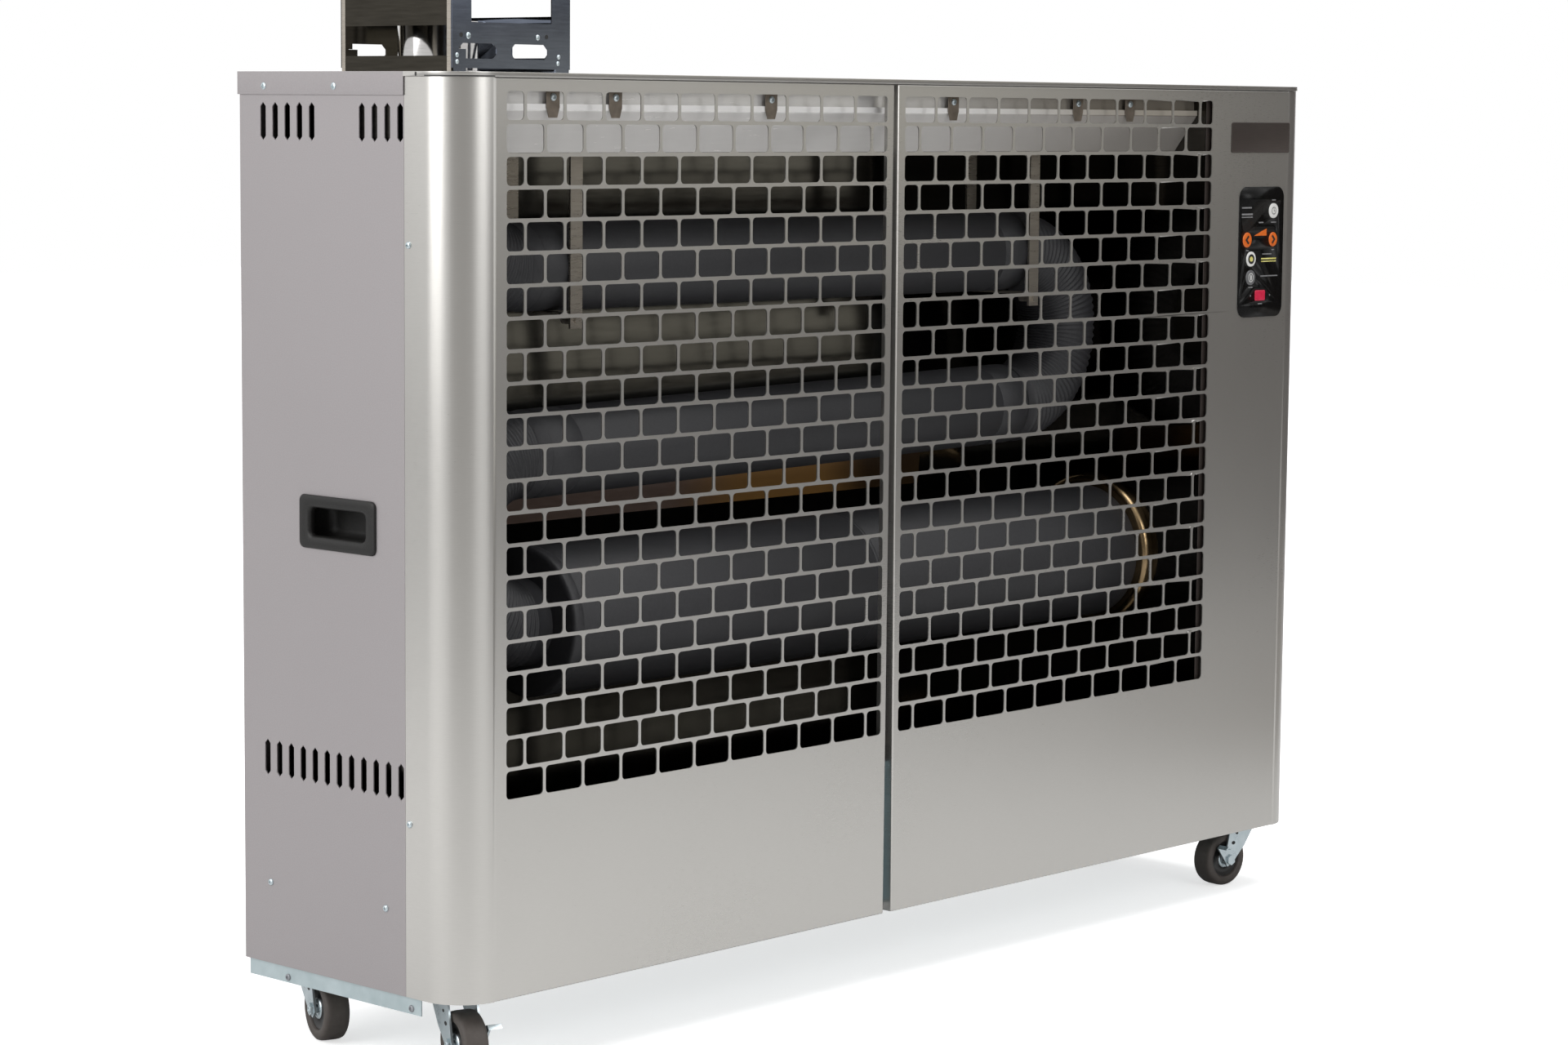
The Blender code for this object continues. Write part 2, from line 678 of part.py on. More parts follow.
def front_cover(name, corner_x, turn, split_top, split_bottom, holes):
    """One front cover: punched face, round corner with its return, and flanges on its other edges."""
    outline = [(corner_x, 0), (split_bottom, 0), (split_top, COVER_TOP), (corner_x, COVER_TOP)]
    bm = punched_face(outline, holes)
    split = boundary(bm, lambda p: on_line(p, split_bottom, split_top))
    top = boundary(bm, lambda p: near(p.z, COVER_TOP))
    foot = boundary(bm, lambda p: near(p.z, 0))
    side = boundary(bm, lambda p: near(p.x, corner_x))
    fold_edges(bm, split + top + foot, (0, COVER_FLANGE, 0))
    wrap_corner(bm, side, corner_x, turn)
    face_away(bm, (0, 1, 0))
    return solidify(finish(bm, name, STAINLESS, (corner_x, 0, 0)), SHEET)


def on_line(point, bottom, top):
    """Whether a point lies on the slanting split edge."""
    return near(point.x, bottom + (top - bottom) * point.z / COVER_TOP)


def build_covers():
    """Both front covers, the right one with the opening for its control panel."""
    front_cover("front_cover_left", CORNER_RADIUS, -1, SPLIT_LEFT_TOP, SPLIT_LEFT_BOTTOM,
                window_holes(WINDOW_LEFT, False))
    panel_hole = [(p.x, p.z) for p in rounded_outline(
        (PANEL_X, 0, PANEL_Z), (1, 0, 0), (0, 0, 1), PANEL_WIDTH - 2 * PANEL_BEZEL,
        PANEL_TALL - 2 * PANEL_BEZEL, PANEL_CORNER, BEVEL_STEPS)]
    front_cover("front_cover_right", CABINET_WIDTH - CORNER_RADIUS, 1, SPLIT_RIGHT_TOP,
                SPLIT_RIGHT_BOTTOM, window_holes(WINDOW_RIGHT, True) + [panel_hole])


# Side panels, handles, rear panel, lid and base pan

def slot_cutter(name, places, along, across, length, run):
    """One hidden cutter for a row of slots."""
    bm = bmesh.new()
    for place in places:
        prism_into(bm, slot_outline(place, along, across, length, SLOT_WIDTH), run)
    bmesh.ops.recalc_face_normals(bm, faces=bm.faces)
    return finish(bm, name, None, places[0], CUTTERS)


def side_slots(name, x, upper_row):
    """Cutters for the slots of a side panel: a lower row, and on the flue side an upper row."""
    lower = [LOWER_SLOT_REAR_Y - i * LOWER_SLOT_PITCH for i in range(LOWER_SLOTS)]
    start = x - OVERRUN
    run = (2 * OVERRUN, 0, 0)
    cutters = [slot_cutter(name + "_lower", [(start, y, LOWER_SLOT_Z) for y in lower],
                           (0, 0, 1), (0, 1, 0), LOWER_SLOT_HEIGHT, run)]
    if upper_row:
        upper = [UPPER_SLOT_REAR_Y - i * UPPER_SLOT_PITCH for i in range(UPPER_SLOTS_REAR)]
        upper += [UPPER_SLOT_FRONT_Y - i * UPPER_SLOT_PITCH for i in range(UPPER_SLOTS_FRONT)]
        cutters.append(slot_cutter(name + "_upper", [(start, y, UPPER_SLOT_Z) for y in upper],
                                   (0, 0, 1), (0, 1, 0), SLOT_HEIGHT, run))
    return cutters


def side_panel(name, x, inward, upper_row):
    """A side panel: a tongue behind the cover's return, the flat side and a rear return."""
    back = CABINET_DEPTH - LAP
    tongue_x = x + inward * LAP
    points = [(tongue_x, SEAM_DEPTH - TONGUE_LENGTH, 0), (tongue_x, SEAM_DEPTH + GAP, 0),
              (x, SEAM_DEPTH + GAP, 0), (x, back, 0), (x + inward * REAR_RETURN, back, 0)]
    panel = folded(name, PAINTED, points, (0, 0, PANEL_TOP), (inward, 0, 0), SHEET, points[2])
    for cutter in side_slots(name, x, upper_row):
        cut(panel, cutter)
    opening = rounded_outline((x - OVERRUN, HANDLE_Y, HANDLE_Z), (0, 1, 0), (0, 0, 1),
                              HANDLE_LENGTH - HANDLE_RIM, HANDLE_HEIGHT - HANDLE_RIM,
                              HANDLE_CORNER, BEVEL_STEPS)
    cut(panel, prism(name + "_handle_hole", None, opening, (2 * OVERRUN, 0, 0), group=CUTTERS))
    return panel


def handle_outline(x, length, height):
    """Outline of the handle cup at one depth."""
    return rounded_outline((x, HANDLE_Y, HANDLE_Z), (0, 1, 0), (0, 0, 1), length, height,
                           HANDLE_CORNER, BEVEL_STEPS)


def handle_cup(name, x, outward):
    """A moulded grip: a rim on the panel round a cup that a hand reaches into."""
    face = x + outward * GAP
    rim = outward * HANDLE_RIM_DEPTH
    neck = -outward * (HANDLE_DEPTH + GAP)
    body_length = HANDLE_LENGTH - HANDLE_RIM - 2 * GAP
    body_height = HANDLE_HEIGHT - HANDLE_RIM - 2 * GAP
    cup = prism(name, BLACK_PLASTIC, handle_outline(face, HANDLE_LENGTH, HANDLE_HEIGHT),
                (rim, 0, 0), (face, HANDLE_Y, HANDLE_Z))
    join(cup, prism(name + "_body", None, handle_outline(face, body_length, body_height),
                    (neck, 0, 0), group=CUTTERS))
    hollow = handle_outline(face + rim * 2, body_length - 2 * HANDLE_WALL,
                            body_height - 2 * HANDLE_WALL)
    cut(cup, prism(name + "_hollow", None, hollow, (neck + outward * HANDLE_WALL - rim * 2, 0, 0),
                   group=CUTTERS))
    return cup


def rear_panel():
    """The rear panel, with an air grille for the burner and holes for filler and power inlet."""
    back = CABINET_DEPTH
    low = (GAP, back - SHEET, 0)
    high = (CABINET_WIDTH - GAP, back, PANEL_TOP)
    panel = box("rear_panel", PAINTED, low, high)
    heights = [REAR_LOUVRE_Z + i * UPPER_SLOT_PITCH for i in range(REAR_LOUVRES)]
    places = [(REAR_LOUVRE_X, back + OVERRUN, z) for z in heights]
    cut(panel, slot_cutter("rear_louvres", places, (1, 0, 0), (0, 0, 1), REAR_LOUVRE_LENGTH,
                           (0, -3 * OVERRUN, 0)))
    cut(panel, cylinder("rear_filler_hole", None, (FILLER_X, back - OVERRUN, FILLER_Z),
                        (FILLER_X, back + OVERRUN, FILLER_Z), FILLER_HOLE_RADIUS, ROUND,
                        CUTTERS))
    cut(panel, box("rear_inlet_hole", None,
                   (INLET_X - INLET_WIDTH / 2 - GAP, back - OVERRUN, INLET_Z - INLET_HEIGHT / 2 - GAP),
                   (INLET_X + INLET_WIDTH / 2 + GAP, back + OVERRUN, INLET_Z + INLET_HEIGHT / 2 + GAP),
                   CUTTERS))


def corner_arc(center_x, center_y, radius, start, steps=CORNER_STEPS):
    """Points of a quarter circle in plan."""
    return [(center_x + radius * cos(start - pi / 2 * i / steps),
             center_y + radius * sin(start - pi / 2 * i / steps)) for i in range(steps + 1)]


def plan_outline(inset, back):
    """The cabinet's plan, drawn in by an inset, with its two round front corners."""
    left, right = inset, CABINET_WIDTH - inset
    radius = CORNER_RADIUS - inset
    points = corner_arc(CORNER_RADIUS, CORNER_RADIUS, radius, -pi / 2)[::-1]
    points = [(x, y) for x, y in points]
    other = [(CABINET_WIDTH - x, y) for x, y in reversed(points)]
    return points + other + [(right, SEAM_DEPTH), (right, back), (left, back), (left, SEAM_DEPTH)]


def lid():
    """The lid: a top sheet with a short rim all round and a deeper skirt on its sides and back."""
    back = CABINET_DEPTH + LAP
    outline = plan_outline(-LAP, back)
    bm = bmesh.new()
    bm.faces.new([bm.verts.new((x, y, PANEL_HEIGHT)) for x, y in outline])
    rim = fold_edges(bm, list(bm.edges), (0, 0, -LID_RIM))
    deep = [e for e in rim if all(v.co.y > SEAM_DEPTH - GAP and near(v.co.z, PANEL_HEIGHT - LID_RIM)
                                  for v in e.verts)]
    fold_edges(bm, deep, (0, 0, LID_RIM - LID_SKIRT))
    face_away(bm, (0, 0, -1))
    top = solidify(finish(bm, "lid", STAINLESS, (CABINET_WIDTH / 2, CABINET_DEPTH / 2, PANEL_HEIGHT)),
                   SHEET)
    cut(top, cylinder("lid_flue_hole", None, (FLUE_X, TUBE_Y, PANEL_HEIGHT - OVERRUN),
                      (FLUE_X, TUBE_Y, PANEL_HEIGHT + OVERRUN), FLUE_RADIUS + GAP, ROUND, CUTTERS))


def base_pan():
    """The base pan: a floor with end skirts turned down and its back edge turned up."""
    left, right = PAN_EDGE, CABINET_WIDTH - PAN_EDGE
    back = CABINET_DEPTH - PAN_EDGE
    front = COVER_FLANGE + LAP
    inner = PAN_EDGE + SHEET
    radius = CORNER_RADIUS - inner
    start = CORNER_RADIUS - sqrt(radius * radius - (CORNER_RADIUS - front) ** 2)
    arc = [p for p in plan_outline(inner, back) if front + GAP < p[1] < CORNER_RADIUS - GAP]
    half = len(arc) // 2
    outline = arc[:half] + [(start, front), (CABINET_WIDTH - start, front)] + arc[half:]
    outline += [(right - SHEET, PAN_SKIRT_FRONT), (right, PAN_SKIRT_FRONT), (right, PAN_SKIRT_BACK),
                (right - SHEET, PAN_SKIRT_BACK), (right - SHEET, back), (left + SHEET, back),
                (left + SHEET, PAN_SKIRT_BACK), (left, PAN_SKIRT_BACK), (left, PAN_SKIRT_FRONT),
                (left + SHEET, PAN_SKIRT_FRONT)]
    bm = bmesh.new()
    bm.faces.new([bm.verts.new((x, y, PAN_PLATE_Z)) for x, y in outline])
    rear = boundary(bm, lambda p: near(p.y, back))
    for x in (left, right):
        skirt = boundary(bm, lambda p: near(p.x, x) and p.y > PAN_SKIRT_FRONT - GAP
                         and p.y < PAN_SKIRT_BACK + GAP)
        fold_edges(bm, skirt, (0, 0, PAN_SKIRT_BOTTOM - PAN_PLATE_Z))
    fold_edges(bm, rear, (0, 0, PAN_UPTURN))
    face_away(bm, (0, 0, 1))
    solidify(finish(bm, "base_pan", GALVANISED, (CABINET_WIDTH / 2, CABINET_DEPTH / 2, PAN_PLATE_Z)),
             SHEET)


# Reflector sheets

def chamber_ends():
    """The chamber's left mirror end and the partition before the burner, with its burner hole."""
    front = PAN_EDGE + LAP
    back = CABINET_DEPTH - front
    floor = PAN_PLATE_Z + SHEET + GAP
    rise = (0, 0, COVER_TOP - LAP - floor)
    left = [(CHAMBER_LEFT - CHAMBER_FLANGE, back, floor), (CHAMBER_LEFT, back, floor),
            (CHAMBER_LEFT, front, floor)]
    folded("end_reflector", MIRROR, left, rise, (0, -1, 0), REFLECTOR_SHEET, left[1])
    right = [(CHAMBER_RIGHT + CHAMBER_FLANGE, back, floor), (CHAMBER_RIGHT, back, floor),
             (CHAMBER_RIGHT, front, floor)]
    plate = folded("partition_plate", MIRROR, right, rise, (0, -1, 0), REFLECTOR_SHEET, right[1])
    cut(plate, cylinder("partition_burner_hole", None,
                        (CHAMBER_RIGHT - OVERRUN, TUBE_Y, COMBUSTION_Z),
                        (CHAMBER_RIGHT + OVERRUN, TUBE_Y, COMBUSTION_Z),
                        BURNER_TUBE_RADIUS + GAP, ROUND, CUTTERS))
    cut(plate, cylinder("partition_pipe_hole", None, (CHAMBER_RIGHT - OVERRUN, TUBE_Y, FUEL_PIPE_Z),
                        (CHAMBER_RIGHT + OVERRUN, TUBE_Y, FUEL_PIPE_Z),
                        FUEL_PIPE_RADIUS + 2 * GAP, SMALL_ROUND, CUTTERS))


def chamber_sheets():
    """The folded back sheet, the bottom sheet and the top sheet between the chamber's ends."""
    start = CHAMBER_LEFT + GAP
    run = (CHAMBER_RIGHT - GAP - start, 0, 0)
    middle = (TOP_TUBE_Z + COMBUSTION_Z) / 2
    back = [(start, BACK_Y, REFLECTOR_BOTTOM + GAP), (start, BACK_Y, COMBUSTION_Z),
            (start, BACK_FOLD_Y, middle), (start, BACK_Y, TOP_TUBE_Z),
            (start, BACK_Y, top_sheet_height(BACK_Y) - GAP)]
    folded("back_reflector", MIRROR, back, run, (0, 1, 0), REFLECTOR_SHEET)
    lip = COVER_FLANGE + LAP
    foot = [(start, lip, REFLECTOR_BOTTOM - CHAMBER_FLANGE), (start, lip, REFLECTOR_BOTTOM),
            (start, BACK_Y + CHAMBER_FLANGE, REFLECTOR_BOTTOM)]
    folded("bottom_reflector", MIRROR, foot, run, (0, 1, 0), REFLECTOR_SHEET)
    top = [(start, TOP_SHEET_FRONT, PANEL_TOP),
           (start, TOP_SHEET_FRONT, TOP_LEDGE_Z),
           (start, TOP_SHEET_FRONT - TOP_LEDGE_STEP, TOP_LEDGE_Z),
           (start, TOP_SHEET_FRONT - TOP_LEDGE_STEP, TOP_LEDGE_Z - TOP_LEDGE_HEIGHT),
           (start, TOP_LIP_Y, TOP_LIP_Z),
           (start, BACK_Y + CHAMBER_FLANGE, TOP_BACK_Z)]
    sheet = folded("top_reflector", MIRROR, top, run, (0, 1, 0), REFLECTOR_SHEET)
    cut(sheet, cylinder("top_reflector_hole", None, (FLUE_X, TUBE_Y, TOP_LIP_Z),
                        (FLUE_X, TUBE_Y, PANEL_HEIGHT),
                        FLUE_RADIUS + OVERRUN, ROUND, CUTTERS))


# Heat exchanger

def arc_points(center, radius, start, sweep, count):
    """Points of an arc in the tubes' upright plane."""
    x, z = center
    return [(x + radius * cos(start + sweep * i / count), TUBE_Y,
             z + radius * sin(start + sweep * i / count)) for i in range(count + 1)]


def corrugated(name, head, center, radius, start, sweep, ribs, tail):
    """A corrugated bend with plain cuffs: two points of unlike radius for each rib, and a bore."""
    arc = arc_points(center, radius, start, sweep, 2 * ribs)
    swells = [TUBE_RADIUS - RIB_DEPTH * ((i + 1) % 2) for i in range(2 * ribs + 1)]
    points = [head] + arc + [tail]
    hose = curve_solid(name, TUBE_BLACK, points, [TUBE_RADIUS] + swells + [TUBE_RADIUS],
                       TUBE_RADIUS, 2)
    inner = TUBE_RADIUS - RIB_DEPTH - 2 * TUBE_WALL
    plain = arc_points(center, radius, start, sweep, BORE_STEPS)
    past_head = stretched(plain[0], head)
    past_tail = stretched(plain[-1], tail)
    path = [past_head] + plain + [past_tail]
    cut(hose, curve_solid(name + "_bore", None, path, [inner] * len(path), inner, 2, CUTTERS))
    return weld(smooth(hose))


def stretched(start, end):
    """A point just past the end of a leg, so that a bore runs out of its mouth."""
    start, end = Vector(start), Vector(end)
    return end + (end - start).normalized() * OVERRUN


def build_bends():
    """The right and left return bends and the elbow up to the flue."""
    right_x = TOP_TUBE_RIGHT + CUFF
    right_z = MIDDLE_TUBE_RIGHT_Z + RIGHT_BEND_RADIUS
    corrugated("bend_right", (TOP_TUBE_RIGHT + GAP, TUBE_Y, TOP_TUBE_Z), (right_x, right_z),
               RIGHT_BEND_RADIUS, pi / 2, -pi, U_BEND_RIBS,
               (MIDDLE_TUBE_RIGHT + GAP, TUBE_Y, MIDDLE_TUBE_RIGHT_Z))
    left_x = MIDDLE_TUBE_LEFT - CUFF
    left_z = COMBUSTION_Z + LEFT_BEND_RADIUS
    corrugated("bend_left", (MIDDLE_TUBE_LEFT - GAP, TUBE_Y, MIDDLE_TUBE_LEFT_Z), (left_x, left_z),
               LEFT_BEND_RADIUS, pi / 2, pi, U_BEND_RIBS,
               (COMBUSTION_LEFT - GAP, TUBE_Y, COMBUSTION_Z))
    elbow_x = TOP_TUBE_LEFT - CUFF
    elbow_z = TOP_TUBE_Z + ELBOW_RADIUS
    corrugated("flue_elbow", (TOP_TUBE_LEFT - GAP, TUBE_Y, TOP_TUBE_Z), (elbow_x, elbow_z),
               ELBOW_RADIUS, -pi / 2, -pi / 2, ELBOW_RIBS,
               (FLUE_X, TUBE_Y, elbow_z + CUFF))


def straight_tubes():
    """The top tube, and the middle tube that climbs a little to the right."""
    length = TOP_TUBE_RIGHT - TOP_TUBE_LEFT
    turned("top_tube", TUBE_BLACK, pipe_profile(TUBE_RADIUS, TUBE_WALL, length, 0),
           (TOP_TUBE_LEFT, TUBE_Y, TOP_TUBE_Z), "X", closed=True)
    length = MIDDLE_TUBE_RIGHT - MIDDLE_TUBE_LEFT
    rise = MIDDLE_TUBE_RIGHT_Z - MIDDLE_TUBE_LEFT_Z
    bm = bmesh.new()
    start = Vector((MIDDLE_TUBE_LEFT, TUBE_Y, MIDDLE_TUBE_LEFT_Z))
    cylinder_into(bm, start, start + Vector((length, 0, 0)), TUBE_RADIUS, ROUND)
    bore = bmesh.new()
    cylinder_into(bore, start - Vector((OVERRUN, 0, 0)), start + Vector((length + OVERRUN, 0, 0)),
                  TUBE_RADIUS - TUBE_WALL, ROUND)
    for shape in (bm, bore):
        for vert in shape.verts:
            vert.co.z += rise * (vert.co.x - start.x) / length
    tube = smooth(finish(bm, "middle_tube", TUBE_BLACK, start))
    cut(tube, finish(bore, "middle_tube_bore", None, start, CUTTERS))


def combustion_tube():
    """The combustion tube: a wide pipe whose left end is closed but for the hole to the bend."""
    length = COMBUSTION_RIGHT - COMBUSTION_LEFT
    bore = TUBE_RADIUS - TUBE_WALL - RIB_DEPTH
    profile = [(COMBUSTION_RADIUS, length), (COMBUSTION_RADIUS, 0), (bore, 0), (bore, TUBE_WALL),
               (COMBUSTION_RADIUS - TUBE_WALL, TUBE_WALL), (COMBUSTION_RADIUS - TUBE_WALL, length)]
    turned("combustion_tube", TUBE_BLACK, profile, (COMBUSTION_LEFT, TUBE_Y, COMBUSTION_Z), "X",
           closed=True)
    outer = COLLAR_OUTER_RADIUS
    room = COMBUSTION_RADIUS + GAP
    ring = [(outer, COLLAR_THICKNESS), (outer, COLLAR_THICKNESS / 3),
            (outer - COLLAR_THICKNESS / 3, 0), (room, 0), (room, COLLAR_THICKNESS)]
    place = (CHAMBER_RIGHT - GAP - COLLAR_THICKNESS, TUBE_Y, COMBUSTION_Z)
    turned("burner_collar", COPPER, ring, place, "X", closed=True)


def flue_stub():
    """The flue stub: a pipe from the elbow's mouth up through the lid, with a collar on the lid."""
    bottom = TOP_TUBE_Z + ELBOW_RADIUS + CUFF + GAP
    lid_top = PANEL_HEIGHT + GAP
    inner = FLUE_RADIUS - TUBE_WALL
    profile = [(FLUE_RADIUS, FLUE_TOP - bottom),
               (FLUE_RADIUS, lid_top + TUBE_WALL - bottom),
               (FLUE_RADIUS + FLUE_COLLAR, lid_top + TUBE_WALL - bottom),
               (FLUE_RADIUS + FLUE_COLLAR, lid_top - bottom),
               (FLUE_RADIUS, lid_top - bottom), (FLUE_RADIUS, 0),
               (inner, 0), (inner, FLUE_TOP - bottom)]
    turned("flue_stub", MIRROR, profile, (FLUE_X, TUBE_Y, bottom), "Z", closed=True)


def tube_hanger(name, x):
    """A strap stirrup that hangs from the top sheet and carries the top tube on a cross rod."""
    front = TUBE_Y - TUBE_RADIUS - GAP
    back = TUBE_Y + TUBE_RADIUS + GAP
    seat = TOP_TUBE_Z - TUBE_RADIUS - GAP
    left = x - HANGER_WIDTH / 2
    run = (HANGER_WIDTH, 0, 0)
    before, behind = front - HANGER_SHEET, back + HANGER_SHEET
    points = [(left, front, top_sheet_height(front) - GAP), (left, front, HANGER_BOTTOM),
              (left, before, HANGER_BOTTOM), (left, before, top_sheet_height(before) - GAP)]
    strap = prism(name, MIRROR, points, run)
    rear = [(left, back, top_sheet_height(back) - GAP), (left, back, seat - HANGER_SHEET),
            (left, behind, seat - HANGER_SHEET), (left, behind, top_sheet_height(behind) - GAP)]
    join(strap, prism(name + "_rear", None, rear, run, group=CUTTERS))
    join(strap, box(name + "_seat", None, (left, front - HANGER_SHEET / 2, seat - HANGER_SHEET),
                    (left + HANGER_WIDTH, back + HANGER_SHEET / 2, seat), CUTTERS))
    rod_z = HANGER_BOTTOM + 2 * HANGER_ROD_RADIUS
    join(strap, cylinder(name + "_rod", None, (x, front - 2 * HANGER_SHEET, rod_z),
                         (x, front + HANGER_WIDTH, rod_z), HANGER_ROD_RADIUS, PIN_ROUND, CUTTERS))
    weld(strap)


def top_sheet_height(y):
    """Height of the sloping top sheet at a depth behind its lip."""
    slope = (TOP_BACK_Z - TOP_LIP_Z) / (BACK_Y + CHAMBER_FLANGE - TOP_LIP_Y)
    return TOP_LIP_Z + slope * (y - TOP_LIP_Y)


# Burner, fuel and controls

def blower():
    """Blower housing with its outlet to the burner tube, the fan wheel in it and the motor behind."""
    left = BLOWER_LEFT
    right = left + BLOWER_WIDTH
    axis = (TUBE_Y, COMBUSTION_Z)
    outer = BLOWER_RADIUS
    inner = outer - BLOWER_WALL
    profile = [(MOTOR_RADIUS / 2, BLOWER_WIDTH), (outer, BLOWER_WIDTH), (outer, 0),
               (BURNER_TUBE_RADIUS, 0), (BURNER_TUBE_RADIUS, BLOWER_WALL), (inner, BLOWER_WALL),
               (inner, BLOWER_WIDTH - BLOWER_WALL), (MOTOR_RADIUS / 2, BLOWER_WIDTH - BLOWER_WALL)]
    turned("blower_housing", MOTOR_GREY, profile, (left, *axis), "X", closed=True)
    start = COMBUSTION_RIGHT - BURNER_REACH
    end = left - GAP - start
    turned("burner_tube", GALVANISED, pipe_profile(BURNER_TUBE_RADIUS, TUBE_WALL, end, 0),
           (start, *axis), "X", closed=True)
    fan_wheel(left + (BLOWER_WIDTH - FAN_WIDTH) / 2, axis)
    motor(right + GAP, axis)


def fan_wheel(x, axis):
    """The fan wheel: a back plate with a hub and straight blades round its rim."""
    y, z = axis
    bm = bmesh.new()
    cylinder_into(bm, (x + FAN_WIDTH - FAN_PLATE, y, z), (x + FAN_WIDTH, y, z), FAN_RADIUS, SMALL_ROUND)
    wheel = finish(bm, "fan_wheel", MOTOR_GREY, (x, y, z))
    hub = cylinder("fan_hub", None, (x + FAN_WIDTH / 2, y, z), (x + FAN_WIDTH, y, z), FAN_HUB_RADIUS,
                   SMALL_ROUND, CUTTERS)
    join(wheel, hub)
    for i in range(FAN_BLADES):
        angle = 2 * pi * i / FAN_BLADES
        radial = Vector((0, cos(angle), sin(angle)))
        across = Vector((0, -sin(angle), cos(angle))) * FAN_BLADE_SHEET / 2
        middle = Vector((x, y, z))
        root = middle + radial * FAN_RADIUS * 2 / 3
        tip = middle + radial * (FAN_RADIUS - FAN_BLADE_SHEET)
        blade = prism("fan_blade_%d" % i, None, [root - across, tip - across, tip + across,
                                                root + across],
                      (FAN_WIDTH - FAN_PLATE / 2, 0, 0), group=CUTTERS)
        join(wheel, blade)
    cut(wheel, cylinder("fan_bore", None, (x - OVERRUN, y, z), (x + FAN_WIDTH + OVERRUN, y, z),
                        SHAFT_RADIUS + FAN_BORE_CLEARANCE, SMALL_ROUND, CUTTERS))


def motor(x, axis):
    """The burner motor, whose shaft reaches into the fan wheel, and the fuel pump on its end."""
    profile = [(0, MOTOR_LENGTH), (MOTOR_RADIUS * 4 / 5, MOTOR_LENGTH),
               (MOTOR_RADIUS, MOTOR_LENGTH * 4 / 5), (MOTOR_RADIUS, 0), (SHAFT_RADIUS, 0),
               (SHAFT_RADIUS, -BLOWER_WIDTH * 2 / 3), (0, -BLOWER_WIDTH * 2 / 3)]
    turned("burner_motor", MOTOR_GREY, profile, (x, *axis), "X", SMALL_ROUND)
    y, z = axis
    bottom = z - MOTOR_RADIUS - GAP
    middle = x + MOTOR_LENGTH * 2 / 5
    pump = cylinder("fuel_pump", COPPER_PIPE, (middle, y, bottom), (middle, y, bottom - PUMP_LENGTH),
                    PUMP_RADIUS)
    return pump


def fuel_tank():
    """The fuel tank in the base, with its filler neck to the rear, and the cap on the neck."""
    low = (TANK_LEFT, TANK_FRONT, PAN_PLATE_Z + SHEET + GAP)
    high = (TANK_RIGHT, TANK_BACK, TANK_HEIGHT)
    tank = box("fuel_tank", TANK_BLACK, low, high)
    bevel = tank.modifiers.new("Edges", "BEVEL")
    bevel.width = TANK_EDGE
    bevel.segments = TANK_EDGE_STEPS
    neck_end = TANK_BACK + FILLER_NECK_LENGTH
    join(tank, cylinder("filler_neck", None, (FILLER_X, TANK_BACK - OVERRUN, FILLER_Z),
                        (FILLER_X, neck_end, FILLER_Z), FILLER_NECK_RADIUS, ROUND, CUTTERS))
    skirt = neck_end + GAP - (TANK_BACK + 2 * GAP)
    room = FILLER_NECK_RADIUS / cos(pi / SMALL_ROUND) + GAP
    profile = [(0, CAP_HEIGHT), (CAP_RADIUS, CAP_HEIGHT), (CAP_RADIUS, 0), (room, 0), (room, skirt),
               (0, skirt)]
    cap = turned("filler_cap", BLACK_PLASTIC, profile, (FILLER_X, TANK_BACK + 2 * GAP, FILLER_Z), "Y",
                 SMALL_ROUND)
    face = TANK_BACK + 2 * GAP + CAP_HEIGHT
    join(cap, box("filler_cap_grip", None,
                  (FILLER_X - CAP_RADIUS + CAP_GRIP_WIDTH / 2, face - CAP_GRIP_HEIGHT / 2,
                   FILLER_Z - CAP_GRIP_WIDTH / 2),
                  (FILLER_X + CAP_RADIUS - CAP_GRIP_WIDTH / 2, face + CAP_GRIP_HEIGHT,
                   FILLER_Z + CAP_GRIP_WIDTH / 2), CUTTERS))


def fuel_line():
    """The fuel pipe from the tank through the partition up to the pump."""
    x = BLOWER_LEFT + BLOWER_WIDTH + GAP + MOTOR_LENGTH * 2 / 5
    top = COMBUSTION_Z - MOTOR_RADIUS - GAP - PUMP_LENGTH - GAP
    bend = (x - FUEL_PIPE_BEND, FUEL_PIPE_Z + FUEL_PIPE_BEND)
    points = [(TANK_RIGHT + GAP, TUBE_Y, FUEL_PIPE_Z)]
    points += arc_points(bend, FUEL_PIPE_BEND, -pi / 2, pi / 2, FUEL_PIPE_STEPS)
    points += [(x, TUBE_Y, top)]
    pipe = curve_solid("fuel_line", COPPER_PIPE, points, [FUEL_PIPE_RADIUS] * len(points),
                       FUEL_PIPE_RADIUS, 1)
    return smooth(pipe)


def button_outline(x, z, width, height, corner, steps, y):
    """Outline of a button at one depth of the control panel."""
    return rounded_outline((x, y, z), (1, 0, 0), (0, 0, 1), width, height, corner, steps)


BUTTON_FACE = -(GAP + PANEL_PROUD + BUTTON_PROUD)
OVAL = (OVAL_BUTTON_WIDTH, OVAL_BUTTON_HEIGHT, OVAL_BUTTON_HEIGHT / 2 - GAP)
DISC = (ROUND_BUTTON_SIZE, ROUND_BUTTON_SIZE, ROUND_BUTTON_SIZE / 2 - GAP)
ARROW = (ARROW_BUTTON_SIZE, ARROW_BUTTON_SIZE, ARROW_BUTTON_SIZE / 2 - GAP)
POWER = (POWER_BUTTON_WIDTH, POWER_BUTTON_HEIGHT, POWER_BUTTON_CORNER)
BUTTON_LEFT_X = PANEL_X - BUTTON_LEFT_REACH
BUTTON_RIGHT_X = PANEL_X + BUTTON_RIGHT_REACH
BUTTON_LAMP_X = PANEL_X - BUTTON_LAMP_REACH
BUTTON_TOP_Z = PANEL_Z + BUTTON_TOP_RISE
BUTTON_UPPER_Z = PANEL_Z + BUTTON_UPPER_RISE
BUTTON_MIDDLE_Z = PANEL_Z - BUTTON_MIDDLE_DROP
